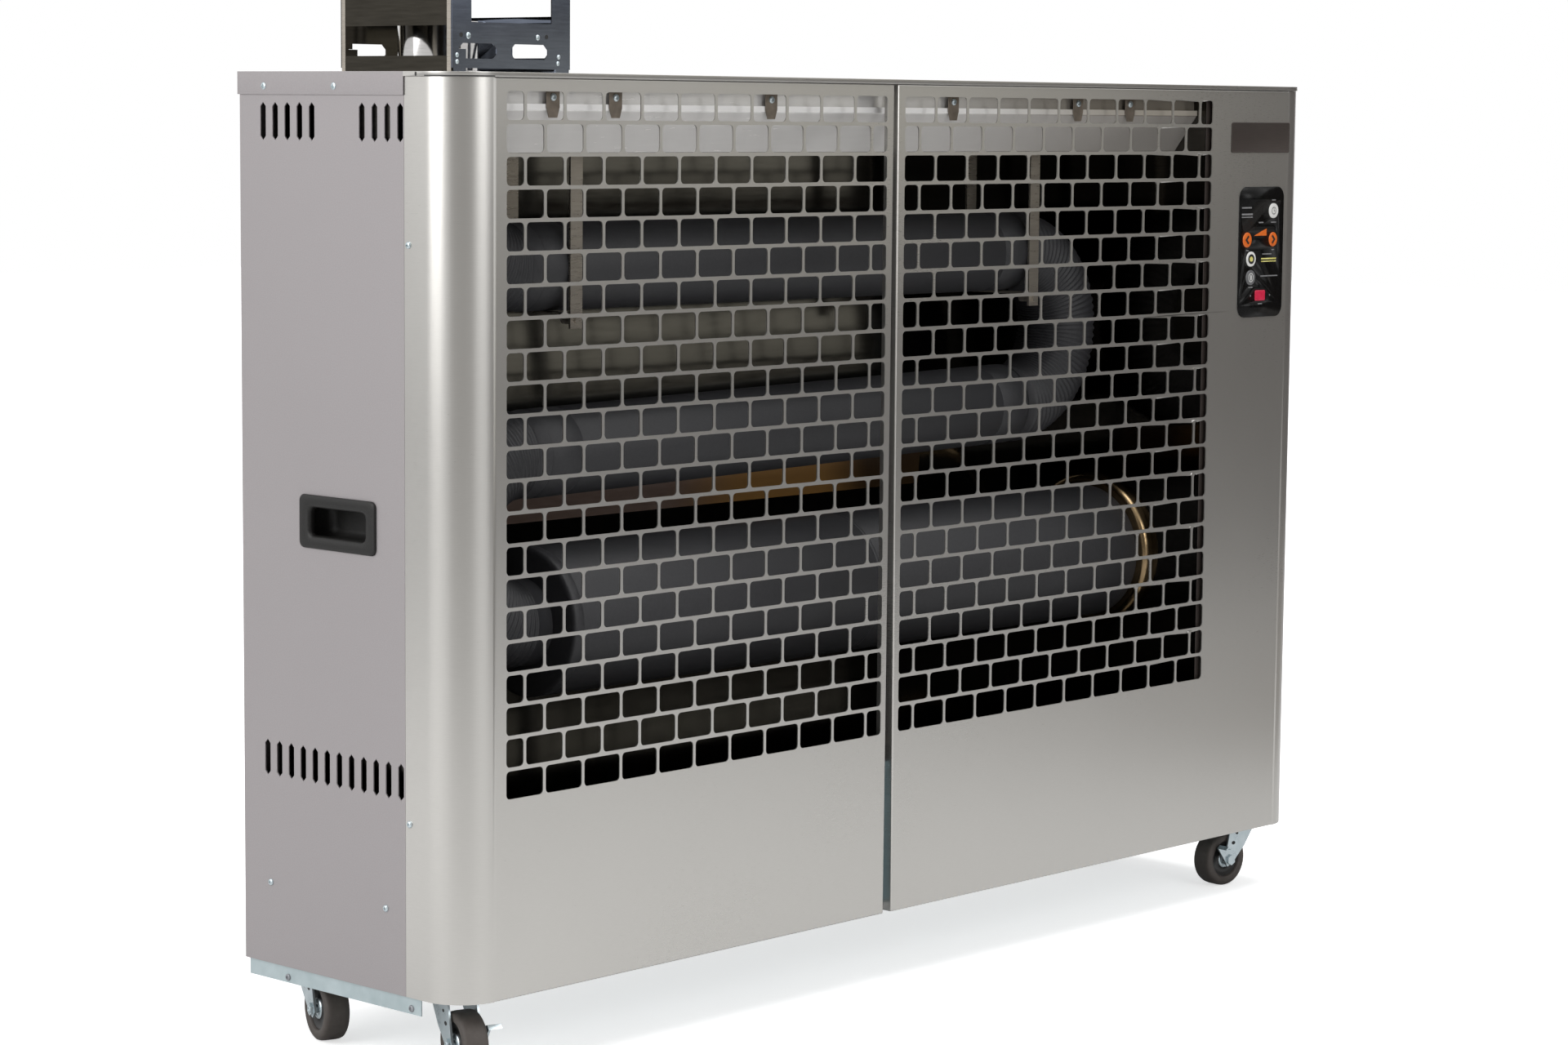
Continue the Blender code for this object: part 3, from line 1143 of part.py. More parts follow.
BUTTON_LOWER_Z = PANEL_Z - BUTTON_LOWER_DROP
BUTTON_POWER_Z = PANEL_Z - BUTTON_POWER_DROP
BUTTONS = [
    ("timer_button", WHITE, BUTTON_RIGHT_X, BUTTON_TOP_Z, OVAL),
    ("heat_down_button", ORANGE, BUTTON_LEFT_X, BUTTON_UPPER_Z, DISC),
    ("heat_up_button", ORANGE, BUTTON_RIGHT_X, BUTTON_UPPER_Z, ARROW),
    ("signal_lamp", YELLOW, BUTTON_LAMP_X, BUTTON_MIDDLE_Z, OVAL),
    ("mode_button", GREY, BUTTON_LAMP_X, BUTTON_LOWER_Z, OVAL),
    ("power_button", RED, PANEL_X, BUTTON_POWER_Z, POWER),
]


def control_panel():
    """The control panel on the right cover, its buttons and lamp, and the box behind it."""
    middle = (PANEL_X, -GAP, PANEL_Z)
    across, up = (1, 0, 0), (0, 0, 1)
    face = rounded_outline(middle, across, up, PANEL_WIDTH, PANEL_TALL, PANEL_CORNER,
                           PANEL_CORNER_STEPS)
    panel = prism("control_panel", PANEL_BLACK, face, (0, -PANEL_PROUD, 0), middle)
    inner = rounded_outline((PANEL_X, -GAP - PANEL_PROUD / 2, PANEL_Z), across, up,
                            PANEL_WIDTH - 2 * PANEL_BEZEL - 2 * GAP,
                            PANEL_TALL - 2 * PANEL_BEZEL - 2 * GAP, PANEL_CORNER,
                            BEVEL_STEPS)
    join(panel, prism("panel_body", None, inner, (0, PANEL_DEPTH, 0), group=CUTTERS))
    for name, material, x, z, (width, height, corner) in BUTTONS:
        steps = PANEL_CORNER_STEPS
        hole = button_outline(x, z, width + 2 * BUTTON_FIT, height + 2 * BUTTON_FIT,
                              corner + BUTTON_FIT, steps, -OVERRUN)
        cut(panel, prism(name + "_hole", None, hole, (0, PANEL_DEPTH + 2 * OVERRUN, 0),
                         group=CUTTERS))
        key = button_outline(x, z, width, height, corner, steps, BUTTON_FACE)
        prism(name, material, key, (0, BUTTON_THICKNESS, 0), (x, BUTTON_FACE, z))
    back = PANEL_DEPTH - GAP - PANEL_PROUD / 2 + GAP
    half = PANEL_WIDTH / 2 - CONTROL_BOX_MARGIN
    tall = PANEL_TALL / 2 - CONTROL_BOX_MARGIN
    box("control_box", GALVANISED, (PANEL_X - half, back, PANEL_Z - tall),
        (PANEL_X + half, back + CONTROL_BOX_DEPTH, PANEL_Z + tall))


def power_inlet():
    """The recessed power inlet on the rear panel."""
    face = CABINET_DEPTH + GAP
    middle_low = (INLET_X - INLET_WIDTH / 2, INLET_Z - INLET_HEIGHT / 2)
    middle_high = (INLET_X + INLET_WIDTH / 2, INLET_Z + INLET_HEIGHT / 2)
    inlet = box("power_inlet", BLACK_PLASTIC,
                (middle_low[0] - INLET_RIM, face, middle_low[1] - INLET_RIM),
                (middle_high[0] + INLET_RIM, face + SHEET, middle_high[1] + INLET_RIM))
    join(inlet, box("inlet_body", None, (middle_low[0], face - INLET_DEPTH, middle_low[1]),
                    (middle_high[0], face + SHEET / 2, middle_high[1]), CUTTERS))
    wall = INLET_WALL
    cut(inlet, box("inlet_hollow", None,
                   (middle_low[0] + wall, face - INLET_DEPTH + wall, middle_low[1] + wall),
                   (middle_high[0] - wall, face + OVERRUN, middle_high[1] - wall), CUTTERS))


# Exhaust guard

def guard_plate(name, y, outward):
    """A front or rear guard plate: a window over a slotted band, and two feet on the lid."""
    low = PANEL_HEIGHT + GUARD_RAISE
    high = PANEL_HEIGHT + GUARD_HEIGHT
    band = PANEL_HEIGHT + GUARD_BAND + GUARD_RAISE
    plate = box(name, MIRROR, (GUARD_LEFT, min(y, y - outward * SHEET), low),
                (GUARD_RIGHT, max(y, y - outward * SHEET), high))
    middle = y - outward * SHEET / 2
    cut(plate, box(name + "_window", None, (GUARD_LEFT + GUARD_POST, middle - OVERRUN, band),
                   (GUARD_RIGHT - GUARD_POST, middle + OVERRUN, high - GUARD_HEAD), CUTTERS))
    for place in (GUARD_SLOT_LEFT_X, GUARD_SLOT_RIGHT_X):
        outline = rounded_outline((place, middle - OVERRUN, PANEL_HEIGHT + GUARD_SLOT_Z),
                                  (1, 0, 0), (0, 0, 1), GUARD_SLOT_LENGTH, GUARD_SLOT_HEIGHT,
                                  GUARD_SLOT_HEIGHT / 3, BEVEL_STEPS)
        cut(plate, prism(name + "_slot_%d" % (place > GUARD_SLOT_LEFT_X), None, outline,
                         (0, 2 * OVERRUN, 0), group=CUTTERS))
    for side, x in enumerate((GUARD_LEFT + LAP + GAP, GUARD_RIGHT - LAP - GAP - GUARD_FOOT_WIDTH)):
        foot = [(x, middle, PANEL_HEIGHT + GUARD_FOOT_HEIGHT), (x, middle, PANEL_HEIGHT + GAP),
                (x, middle - outward * GUARD_FOOT_TOE, PANEL_HEIGHT + GAP),
                (x, middle - outward * GUARD_FOOT_TOE, PANEL_HEIGHT + GAP + GUARD_FOOT_SHEET),
                (x, middle - outward * (GUARD_FOOT_SHEET + SHEET / 2),
                 PANEL_HEIGHT + GAP + GUARD_FOOT_SHEET),
                (x, middle - outward * (GUARD_FOOT_SHEET + SHEET / 2),
                 PANEL_HEIGHT + GUARD_FOOT_HEIGHT)]
        join(plate, prism(name + "_foot_%d" % side, None, foot, (GUARD_FOOT_WIDTH, 0, 0),
                          group=CUTTERS))


def guard_side(name, x, inward):
    """A side guard sheet with returns behind the front and rear plates and a long side slot."""
    front = GUARD_FRONT + LAP
    back = GUARD_BACK - LAP
    foot = PANEL_HEIGHT + GAP
    points = [(x + inward * GUARD_RETURN, front, foot), (x, front, foot), (x, back, foot),
              (x + inward * GUARD_RETURN, back, foot)]
    rise = (0, 0, GUARD_HEIGHT - GAP)
    side = folded(name, MIRROR, points, rise, (inward, 0, 0), SHEET, points[1])
    cut(side, box(name + "_slot", None,
                  (x - OVERRUN, front + 4 * SHEET, PANEL_HEIGHT + GUARD_SIDE_SLOT_LOW),
                  (x + OVERRUN, back - 4 * SHEET, PANEL_HEIGHT + GUARD_SIDE_SLOT_HIGH), CUTTERS))
    near_edge = x + inward * (SHEET + GAP / 2)
    far_edge = x + inward * (GUARD_RETURN + OVERRUN)
    cut(side, box(name + "_relief", None,
                  (min(near_edge, far_edge), front - OVERRUN, foot - OVERRUN),
                  (max(near_edge, far_edge), back + OVERRUN, PANEL_HEIGHT + GUARD_FOOT_HEIGHT + GAP),
                  CUTTERS))


def guard_top():
    """The guard's top sheet with a round outlet over the flue."""
    low = PANEL_HEIGHT + GUARD_HEIGHT + GAP
    top = box("guard_top", MIRROR, (GUARD_LEFT, GUARD_FRONT, low),
              (GUARD_RIGHT, GUARD_BACK, low + SHEET))
    cut(top, cylinder("guard_top_hole", None, (FLUE_X, TUBE_Y, low - OVERRUN),
                      (FLUE_X, TUBE_Y, low + OVERRUN),
                      FLUE_RADIUS, ROUND, CUTTERS))


# Casters

AXLE_Z = WHEEL_RADIUS - PANEL_LIFT
CROWN_TOP = PAN_PLATE_Z - GAP - CASTER_PLATE - RACE_HEIGHT - GAP
LEG_INNER = WHEEL_WIDTH / 2 + FORK_LEG_GAP
LEG_OUTER = LEG_INNER + FORK_SHEET
PIN_RADIUS = AXLE_HEAD_RADIUS
PIN_BORE_RADIUS = PIN_RADIUS + FORK_SHEET / 2
PEDAL_INNER = LEG_OUTER + GAP
PEDAL_OUTER = PEDAL_INNER + PEDAL_SHEET
CASTERS = [
    ("front_left", CASTER_INSET_X, CASTER_INSET_Y, atan2(-0.95, -0.32), True),
    ("front_right", CABINET_WIDTH - CASTER_INSET_X, CASTER_INSET_Y, atan2(0.128, -0.991), True),
    ("rear_left", CASTER_INSET_X, CABINET_DEPTH - CASTER_INSET_Y, atan2(-0.95, -0.32), False),
    ("rear_right", CABINET_WIDTH - CASTER_INSET_X, CABINET_DEPTH - CASTER_INSET_Y,
     atan2(0.26, -0.966), False),
]


def at_origin(part):
    """Put a piece modelled about the swivel axis at the scene's origin, as a hidden guide."""
    part.location = (0, 0, 0)
    part.hide_render = True
    part.display_type = "WIRE"
    return part


def caster_piece(bm, name):
    """A hidden guide modelled about the swivel axis."""
    mesh = bpy.data.meshes.new(name)
    bmesh.ops.recalc_face_normals(bm, faces=bm.faces)
    bm.to_mesh(mesh)
    bm.free()
    part = bpy.data.objects.new(name, mesh)
    CUTTERS.objects.link(part)
    return at_origin(part)


def baked(part, material):
    """The finished mesh of a guide with its cuts and joins, to be shared by repeated parts."""
    bpy.context.view_layer.update()
    evaluated = part.evaluated_get(bpy.context.evaluated_depsgraph_get())
    mesh = bpy.data.meshes.new_from_object(evaluated)
    mesh.materials.clear()
    mesh.materials.append(material)
    mesh.shade_smooth()
    mesh.set_sharp_from_angle(angle=pi / 5)
    return mesh


def fork_leg_outline():
    """Outline of a fork leg: wide under the crown, drawn in to a round foot at the axle."""
    half = FORK_TOP_WIDTH / 2
    drop = CROWN_TOP - AXLE_Z
    foot = FORK_FOOT_RADIUS
    points = [(half, CROWN_TOP), (-half, CROWN_TOP), (-half, CROWN_TOP - drop / 4),
              (-half / 4, CROWN_TOP - drop * 2 / 3)]
    for i in range(FORK_FOOT_STEPS + 1):
        angle = pi + pi / 6 + (pi + pi / 6) * i / FORK_FOOT_STEPS
        points.append((CASTER_TRAIL + foot * cos(angle), AXLE_Z + foot * sin(angle)))
    points.append((half + foot / 2, CROWN_TOP - drop / 3))
    return points


def leg_prism(side):
    """One leg of the fork, on one side of the wheel."""
    points = [(u, side * LEG_INNER, z) for u, z in fork_leg_outline()]
    return prism_into(bmesh.new(), points, (0, side * FORK_SHEET, 0))


def fork_mesh(with_pedal):
    """The swivelling fork: crown, two legs and the axle bolt with its heads."""
    half = FORK_TOP_WIDTH / 2
    crown = caster_piece(box_into(bmesh.new(), (-half, -LEG_OUTER, CROWN_TOP - FORK_SHEET),
                                  (half, LEG_OUTER, CROWN_TOP)), "fork_crown")
    join(crown, caster_piece(leg_prism(1), "fork_leg_near"))
    join(crown, caster_piece(leg_prism(-1), "fork_leg_far"))
    head = PEDAL_OUTER + GAP if with_pedal else LEG_OUTER - GAP
    axle = [(-LEG_OUTER, head, AXLE_RADIUS), (head, head + AXLE_HEAD, AXLE_HEAD_RADIUS),
            (-LEG_OUTER - AXLE_HEAD, GAP - LEG_OUTER, AXLE_HEAD_RADIUS)]
    for i, (start, end, radius) in enumerate(axle):
        join(crown, caster_piece(cylinder_into(bmesh.new(), (CASTER_TRAIL, start, AXLE_Z),
                                               (CASTER_TRAIL, end + (GAP if i == 0 else 0), AXLE_Z),
                                               radius, BOLT_ROUND), "fork_axle_%d" % i))
    cut(crown, caster_piece(cylinder_into(bmesh.new(), (0, 0, CROWN_TOP - OVERRUN),
                                          (0, 0, CROWN_TOP + OVERRUN), PIN_BORE_RADIUS,
                                          PIN_ROUND), "fork_pin_hole"))
    return baked(crown, ZINC)


def pedal_mesh():
    """The brake pedal: a plate on the axle with a horn that ends in a folded foot pad."""
    radius = PEDAL_RADIUS
    tip = (CASTER_TRAIL + PEDAL_REACH, AXLE_Z + PEDAL_REACH + PEDAL_STANDOFF)
    outline = [(CASTER_TRAIL + radius * cos(a), AXLE_Z + radius * sin(a))
               for a in [pi * 3 / 4 + pi * 3 / 2 * i / FORK_FOOT_STEPS for i in
                         range(FORK_FOOT_STEPS)]]
    outline += [(tip[0] + radius / 2, tip[1] - radius / 2), tip,
                (tip[0] - radius, tip[1] - radius / 3)]
    points = [(u, PEDAL_INNER, z) for u, z in outline]
    plate = caster_piece(prism_into(bmesh.new(), points, (0, PEDAL_SHEET, 0)), "pedal_plate")
    low = (tip[0] - radius * 3 / 4, PEDAL_INNER + PEDAL_SHEET / 2, tip[1] - radius / 2)
    pad = [(tip[0] - radius, PEDAL_INNER, tip[1] - radius / 3), (tip[0], PEDAL_INNER, tip[1]),
           (tip[0] + radius / 2, PEDAL_INNER, tip[1] - radius / 2),
           (tip[0] - PEDAL_SHEET / 2, PEDAL_INNER, tip[1] - PEDAL_SHEET),
           (low[0], PEDAL_INNER, tip[1] - radius / 3 - PEDAL_SHEET)]
    join(plate, caster_piece(prism_into(bmesh.new(), pad, (0, PEDAL_SHEET + PEDAL_WIDTH, 0)),
                             "pedal_pad"))
    cut(plate, caster_piece(cylinder_into(bmesh.new(), (CASTER_TRAIL, PEDAL_INNER - OVERRUN, AXLE_Z),
                                          (CASTER_TRAIL, PEDAL_OUTER + OVERRUN, AXLE_Z),
                                          BORE_RADIUS, PIN_ROUND), "pedal_hole"))
    return baked(plate, ZINC)


def plate_mesh():
    """The caster's fixed plate with its bearing race and the kingpin that holds the fork."""
    top = PAN_PLATE_Z - GAP
    x, y = CASTER_PLATE_X / 2, CASTER_PLATE_Y / 2
    plate = caster_piece(box_into(bmesh.new(), (-x, -y, top - CASTER_PLATE), (x, y, top)),
                         "caster_plate")
    under = CROWN_TOP - FORK_SHEET - GAP
    steps = [(CROWN_TOP + GAP, top - CASTER_PLATE / 2, RACE_RADIUS),
             (under - FORK_SHEET / 2, top - CASTER_PLATE / 2, PIN_RADIUS),
             (under - FORK_SHEET, under, PIN_RADIUS + FORK_SHEET)]
    for i, (low, high, radius) in enumerate(steps):
        join(plate, caster_piece(cylinder_into(bmesh.new(), (0, 0, low), (0, 0, high), radius,
                                               PIN_ROUND),
                                 "caster_race_%d" % i))
    return baked(plate, ZINC)


def wheel_mesh():
    """The wheel about its own axis: chamfered tread, recessed hub and bore."""
    half = WHEEL_WIDTH / 2
    side = [(BORE_RADIUS, half - HUB_RECESS), (HUB_RADIUS, half - HUB_RECESS),
            (WHEEL_RADIUS - TYRE_CHAMFER, half), (WHEEL_RADIUS, half - TYRE_CHAMFER)]
    profile = side + [(r, -h) for r, h in reversed(side)]
    wheel = turned("wheel_guide", None, profile, (0, 0, 0), "Y", WHEEL_ROUND, True, CUTTERS)
    at_origin(wheel)
    wheel.rotation_euler = (0, 0, 0)
    mesh = baked(wheel, TYRE)
    mesh.transform(Matrix.Rotation(-pi / 2, 4, "X"))
    return mesh


def instance(name, mesh, x, y, z, angle):
    """One repeated piece, with its origin on its own joint's axis."""
    part = bpy.data.objects.new(name, mesh)
    part.location = world(x, y, z)
    part.rotation_euler = (0, 0, angle)
    PARTS.objects.link(part)
    return part


def casters():
    """Four casters: fixed plates, swivelling forks, wheels, and brake pedals at the front."""
    plate, wheel, pedal = plate_mesh(), wheel_mesh(), pedal_mesh()
    forks = {True: fork_mesh(True), False: fork_mesh(False)}
    pedal.transform(Matrix.Translation((-CASTER_TRAIL, 0, -AXLE_Z)))
    for name, x, y, angle, braked in CASTERS:
        instance("caster_plate_" + name, plate, x, y, 0, 0)
        instance("caster_fork_" + name, forks[braked], x, y, 0, angle)
        axle_x, axle_y = x + CASTER_TRAIL * cos(angle), y + CASTER_TRAIL * sin(angle)
        instance("wheel_" + name, wheel, axle_x, axle_y, AXLE_Z, angle)
        if braked:
            instance("brake_pedal_" + name, pedal, axle_x, axle_y, AXLE_Z, angle)


build_covers()
side_panel("side_panel_left", 0, 1, True)
side_panel("side_panel_right", CABINET_WIDTH, -1, False)
handle_cup("handle_cup_left", 0, -1)
handle_cup("handle_cup_right", CABINET_WIDTH, 1)
rear_panel()
lid()
base_pan()
chamber_ends()
chamber_sheets()
straight_tubes()
combustion_tube()
build_bends()
flue_stub()
tube_hanger("tube_hanger_left", HANGER_LEFT_X)
tube_hanger("tube_hanger_right", HANGER_RIGHT_X)
blower()
fuel_tank()
fuel_line()
control_panel()
power_inlet()
guard_plate("guard_front", GUARD_FRONT, -1)
guard_plate("guard_rear", GUARD_BACK, 1)
guard_side("guard_left", GUARD_LEFT, 1)
guard_side("guard_right", GUARD_RIGHT, -1)
guard_top()
casters()
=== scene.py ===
"""Looks for the infrared space heater: finer shapes, materials, floor, lights and camera.

Places are written in cabinet coordinates: x from the left side plane, y back from the front plane
and z up from the bottom edge of the panels. world() moves them to the model's own frame.
"""

import json
from math import cos, pi, radians, sin

import bmesh
import bpy
from mathutils import Matrix, Vector

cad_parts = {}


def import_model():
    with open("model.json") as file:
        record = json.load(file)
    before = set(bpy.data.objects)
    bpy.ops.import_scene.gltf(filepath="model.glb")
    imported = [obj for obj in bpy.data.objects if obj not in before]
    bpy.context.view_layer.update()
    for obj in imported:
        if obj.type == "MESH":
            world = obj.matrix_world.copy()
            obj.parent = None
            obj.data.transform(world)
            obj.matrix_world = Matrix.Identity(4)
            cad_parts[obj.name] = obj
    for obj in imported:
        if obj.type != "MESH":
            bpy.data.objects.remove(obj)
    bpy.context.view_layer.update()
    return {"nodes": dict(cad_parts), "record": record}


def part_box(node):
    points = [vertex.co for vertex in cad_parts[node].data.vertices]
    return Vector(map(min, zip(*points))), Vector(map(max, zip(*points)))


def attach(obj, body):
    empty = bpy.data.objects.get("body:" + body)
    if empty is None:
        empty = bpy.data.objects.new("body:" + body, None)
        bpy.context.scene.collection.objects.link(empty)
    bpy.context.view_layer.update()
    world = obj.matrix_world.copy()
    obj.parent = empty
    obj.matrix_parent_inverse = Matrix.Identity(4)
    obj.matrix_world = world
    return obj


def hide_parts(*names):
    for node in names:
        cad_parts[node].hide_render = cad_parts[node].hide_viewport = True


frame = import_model()

GAP = 0.0003
SHEET = 0.0012
CABINET_WIDTH = 1.320
CABINET_DEPTH = 0.310
PANEL_HEIGHT = 0.8575
PANEL_LIFT = 0.0755
CORNER_RADIUS = 0.045
SEAM_DEPTH = 0.074
LAP = SHEET + GAP
COVER_TOP = PANEL_HEIGHT - 0.0045 - GAP

CELL_PITCH = 0.0501
ROW_PITCH = 0.0298
CELL_COLUMNS = 10
CELL_ROWS = 22
BAR_WIDTH = 0.0035
WINDOW_TOP = 0.8423
WINDOW_LEFT = 0.0566
WINDOW_RIGHT = 0.6063
SPLIT_LEFT = (0.5886, 0.5911)
SPLIT_RIGHT = (0.6007, 0.5966)
COVER_FLANGE = 0.012
HOLE_CORNER = 0.0042
CORNER_STEPS = 20
LID_RIM = 0.0045
LID_SKIRT = 0.0215

TUBE_Y = 0.155
TUBE_RADIUS = 0.044
TOP_TUBE_Z = 0.6724
TOP_TUBE = (0.214, 0.950)
MIDDLE_TUBE = (0.223, 0.950)
MIDDLE_TUBE_Z = (0.489, 0.5018)
CUFF = 0.015
COMBUSTION = (0.223, 1.115)
COMBUSTION_RADIUS = 0.075
COMBUSTION_Z = 0.324
FLUE_X = 0.11370
FLUE_RADIUS = 0.038
FLUE_TOP = 0.906
CHAMBER_RIGHT = 1.125

PANEL_X = 1.2264
PANEL_Z = 0.670
BRACKET_PLACES = (0.132, 0.213, 0.427, 0.703, 0.910, 1.001)

PRINT = 0.00006
MERGE = 0.000001
BEND_ANGLE = radians(40)
BRIGHT_EDGE = 0.0003
GRAIN_RELIEF = 0.0002
PATCH_SCALE = 3.5
SURROUND_LIGHT = 0.42


def world(x, y, z):
    """Cabinet coordinates to the model's own frame."""
    return Vector((x - CABINET_WIDTH / 2, y - CABINET_DEPTH / 2, z + PANEL_LIFT))


# Materials

FINISHES = {}


def node(tree, kind, inputs=None, **values):
    """A shader node with its properties and constant inputs set."""
    made = tree.nodes.new(kind)
    for key, value in values.items():
        setattr(made, key, value)
    for key, value in (inputs or {}).items():
        made.inputs[key].default_value = value
    return made


def surface(name, dark, light, metallic, rough, scale=60, bump=0.1, blotch=0.0, grain=1,
            specular=None):
    """A finish whose colour, roughness and relief vary with a fine grain and broad soft patches."""
    material = bpy.data.materials.new(name)
    material.use_nodes = True
    tree = material.node_tree
    link = tree.links.new
    shader = tree.nodes["Principled BSDF"]
    shader.inputs["Metallic"].default_value = metallic
    if specular is not None:
        shader.inputs["Specular IOR Level"].default_value = specular
    place = node(tree, "ShaderNodeTexCoord")
    stretch = node(tree, "ShaderNodeMapping", {"Scale": (1, 1, grain)})
    fine = node(tree, "ShaderNodeTexNoise", {"Scale": scale, "Detail": 5})
    broad = node(tree, "ShaderNodeTexNoise", {"Scale": PATCH_SCALE, "Detail": 3})
    link(place.outputs["Object"], stretch.inputs["Vector"])
    link(stretch.outputs["Vector"], fine.inputs["Vector"])
    link(place.outputs["Object"], broad.inputs["Vector"])
    mixed = node(tree, "ShaderNodeMix", {0: blotch}, data_type="FLOAT")
    link(fine.outputs["Fac"], mixed.inputs[2])
    link(broad.outputs["Fac"], mixed.inputs[3])
    ramp = node(tree, "ShaderNodeValToRGB")
    for stop, position, color in zip(ramp.color_ramp.elements, (0.3, 0.7), (dark, light)):
        stop.position = position
        stop.color = (*color, 1)
    link(mixed.outputs[0], ramp.inputs["Fac"])
    link(ramp.outputs["Color"], shader.inputs["Base Color"])
    spread = node(tree, "ShaderNodeMapRange", {"To Min": rough[0], "To Max": rough[1]})
    link(mixed.outputs[0], spread.inputs["Value"])
    link(spread.outputs["Result"], shader.inputs["Roughness"])
    relief = node(tree, "ShaderNodeBump", {"Strength": bump, "Distance": GRAIN_RELIEF})
    link(fine.outputs["Fac"], relief.inputs["Height"])
    link(relief.outputs["Normal"], shader.inputs["Normal"])
    FINISHES[name] = material
    return material


def tint(material, color, axis, start, full, amount):
    """Mix a colour into a finish along an axis of the object, from none at start to its amount."""
    tree = material.node_tree
    link = tree.links.new
    shader = tree.nodes["Principled BSDF"]
    before = shader.inputs["Base Color"].links[0].from_socket
    place = node(tree, "ShaderNodeTexCoord")
    parts = node(tree, "ShaderNodeSeparateXYZ")
    link(place.outputs["Object"], parts.inputs[0])
    ramp = node(tree, "ShaderNodeMapRange", {"From Min": start, "From Max": full, "To Max": amount},
                interpolation_type="SMOOTHSTEP")
    link(parts.outputs[axis], ramp.inputs["Value"])
    mixed = node(tree, "ShaderNodeMix", {7: (*color, 1)}, data_type="RGBA")
    link(ramp.outputs["Result"], mixed.inputs[0])
    link(before, mixed.inputs[6])
    link(mixed.outputs[2], shader.inputs["Base Color"])


STAINLESS = surface("brushed_stainless", (0.520, 0.508, 0.484), (0.565, 0.553, 0.528), 0.85,
                    (0.24, 0.33), 110, 0.05, 0.45, 30)
PAINTED = surface("satin_grey_panel", (0.315, 0.295, 0.300), (0.360, 0.336, 0.342), 0.35,
                  (0.38, 0.50), 900, 0.12, 0.15)
surface("galvanised_steel", (0.38, 0.46, 0.48), (0.50, 0.58, 0.60), 0.55, (0.32, 0.46), 55, 0.06,
        0.3)
# Painted shade: the mirror sheets that use this finish are coloured near black, a painted dark
# reflection in place of bright steel.
surface("mirror_stainless", (0.050, 0.047, 0.042), (0.092, 0.086, 0.077), 1.0, (0.05, 0.12), 30,
        0.02, 0.5, 12)
# Painted shade: the back reflector is coloured near black as a painted dark reflection, and the
# tint makes it darker still towards the right from x 0.05.
BACK_MIRROR = surface("back_mirror_painted_dark", (0.074, 0.072, 0.066), (0.128, 0.124, 0.116), 0.97,
                      (0.05, 0.14), 26, 0.02, 0.5, 8)
tint(BACK_MIRROR, (0.050, 0.048, 0.044), 0, 0.05, 0.36, 0.75)
HEAT_TINT = surface("heat_tinted_band", (0.24, 0.165, 0.135), (0.34, 0.245, 0.205), 0.35,
                    (0.24, 0.40), 40, 0.03, 0.5, 6)
tint(HEAT_TINT, (0.56, 0.290, 0.080), 0, -0.14, 0.00, 0.92)
tint(HEAT_TINT, (0.030, 0.020, 0.012), 0, 0.10, 0.20, 0.90)
# Painted reflection: the top reflector is near white with little metal so that it reads as a bright
# reflection; the tints paint it darker and golden towards the right, and greyer below a height of
# 0.8975.
TOP_MIRROR = surface("top_mirror_painted_reflection", (0.84, 0.83, 0.82), (0.93, 0.92, 0.91), 0.30,
                     (0.18, 0.32), 30, 0.03, 0.4, 12)
tint(TOP_MIRROR, (0.16, 0.130, 0.09), 0, -0.16, 0.34, 0.88)
tint(TOP_MIRROR, (0.40, 0.385, 0.37), 2, 0.8990, 0.8975, 0.60)
# Painted highlight: the reflector's lip strip is near white with little metal, a painted bright
# edge, tinted darker and browner towards the right.
LIP_STEEL = surface("reflector_lip_painted_highlight", (0.90, 0.89, 0.88), (0.96, 0.95, 0.94), 0.15,
                    (0.25, 0.40), 30, 0.03, 0.4, 12)
tint(LIP_STEEL, (0.36, 0.32, 0.26), 0, -0.02, 0.38, 0.88)
# On the guard's edge strips this beige tone is a painted highlight.
BEIGE_STEEL = surface("guard_edge_steel", (0.34, 0.31, 0.27), (0.44, 0.405, 0.355), 0.8,
                      (0.22, 0.34), 40, 0.03, 0.4, 12)
# Painted reflection: the guard's rear and left sheets are polished steel coloured near black, a
# painted dark reflection.
DARK_MIRROR = surface("guard_mirror_painted_dark_reflection", (0.030, 0.027, 0.021), (0.060, 0.054, 0.044), 1.0,
                      (0.08, 0.16), 30, 0.03, 0.5, 12)
GUARD_STEEL = surface("polished_guard_steel", (0.44, 0.43, 0.42), (0.54, 0.53, 0.52), 1.0,
                      (0.07, 0.14), 40, 0.03, 0.4, 12)
# Painted reflection: the guard's front and right sheets are polished steel tinted navy, a painted
# dark blue reflection.
NAVY_STEEL = surface("guard_steel_painted_navy_reflection", (0.10, 0.115, 0.15), (0.16, 0.18, 0.225), 1.0,
                     (0.08, 0.16), 40, 0.03, 0.4, 12)
TUBE_BLACK = surface("tube_black", (0.016, 0.016, 0.018), (0.026, 0.026, 0.029), 0.0, (0.50, 0.62),
                     300, 0.10, 0.35)
COPPER = surface("heat_tinted_steel", (0.24, 0.17, 0.09), (0.40, 0.29, 0.17), 1.0, (0.16, 0.30), 40,
                 0.03, 0.5)
BLACK_PLASTIC = surface("black_plastic", (0.008, 0.008, 0.008), (0.020, 0.019, 0.018), 0.0,
                        (0.36, 0.54), 900, 0.60, 0.1, specular=0.28)
PANEL_BLACK = surface("panel_black", (0.002, 0.002, 0.002), (0.005, 0.005, 0.005), 0.0,
                      (0.22, 0.30), 200, 0.03, 0.2, specular=0.12)
ZINC = surface("zinc_plated", (0.46, 0.54, 0.57), (0.62, 0.69, 0.72), 0.8, (0.22, 0.34), 90, 0.05,
               0.4)
TYRE = surface("tyre_rubber", (0.050, 0.041, 0.036), (0.078, 0.066, 0.058), 0.0, (0.50, 0.70), 120,
               0.20, 0.35)
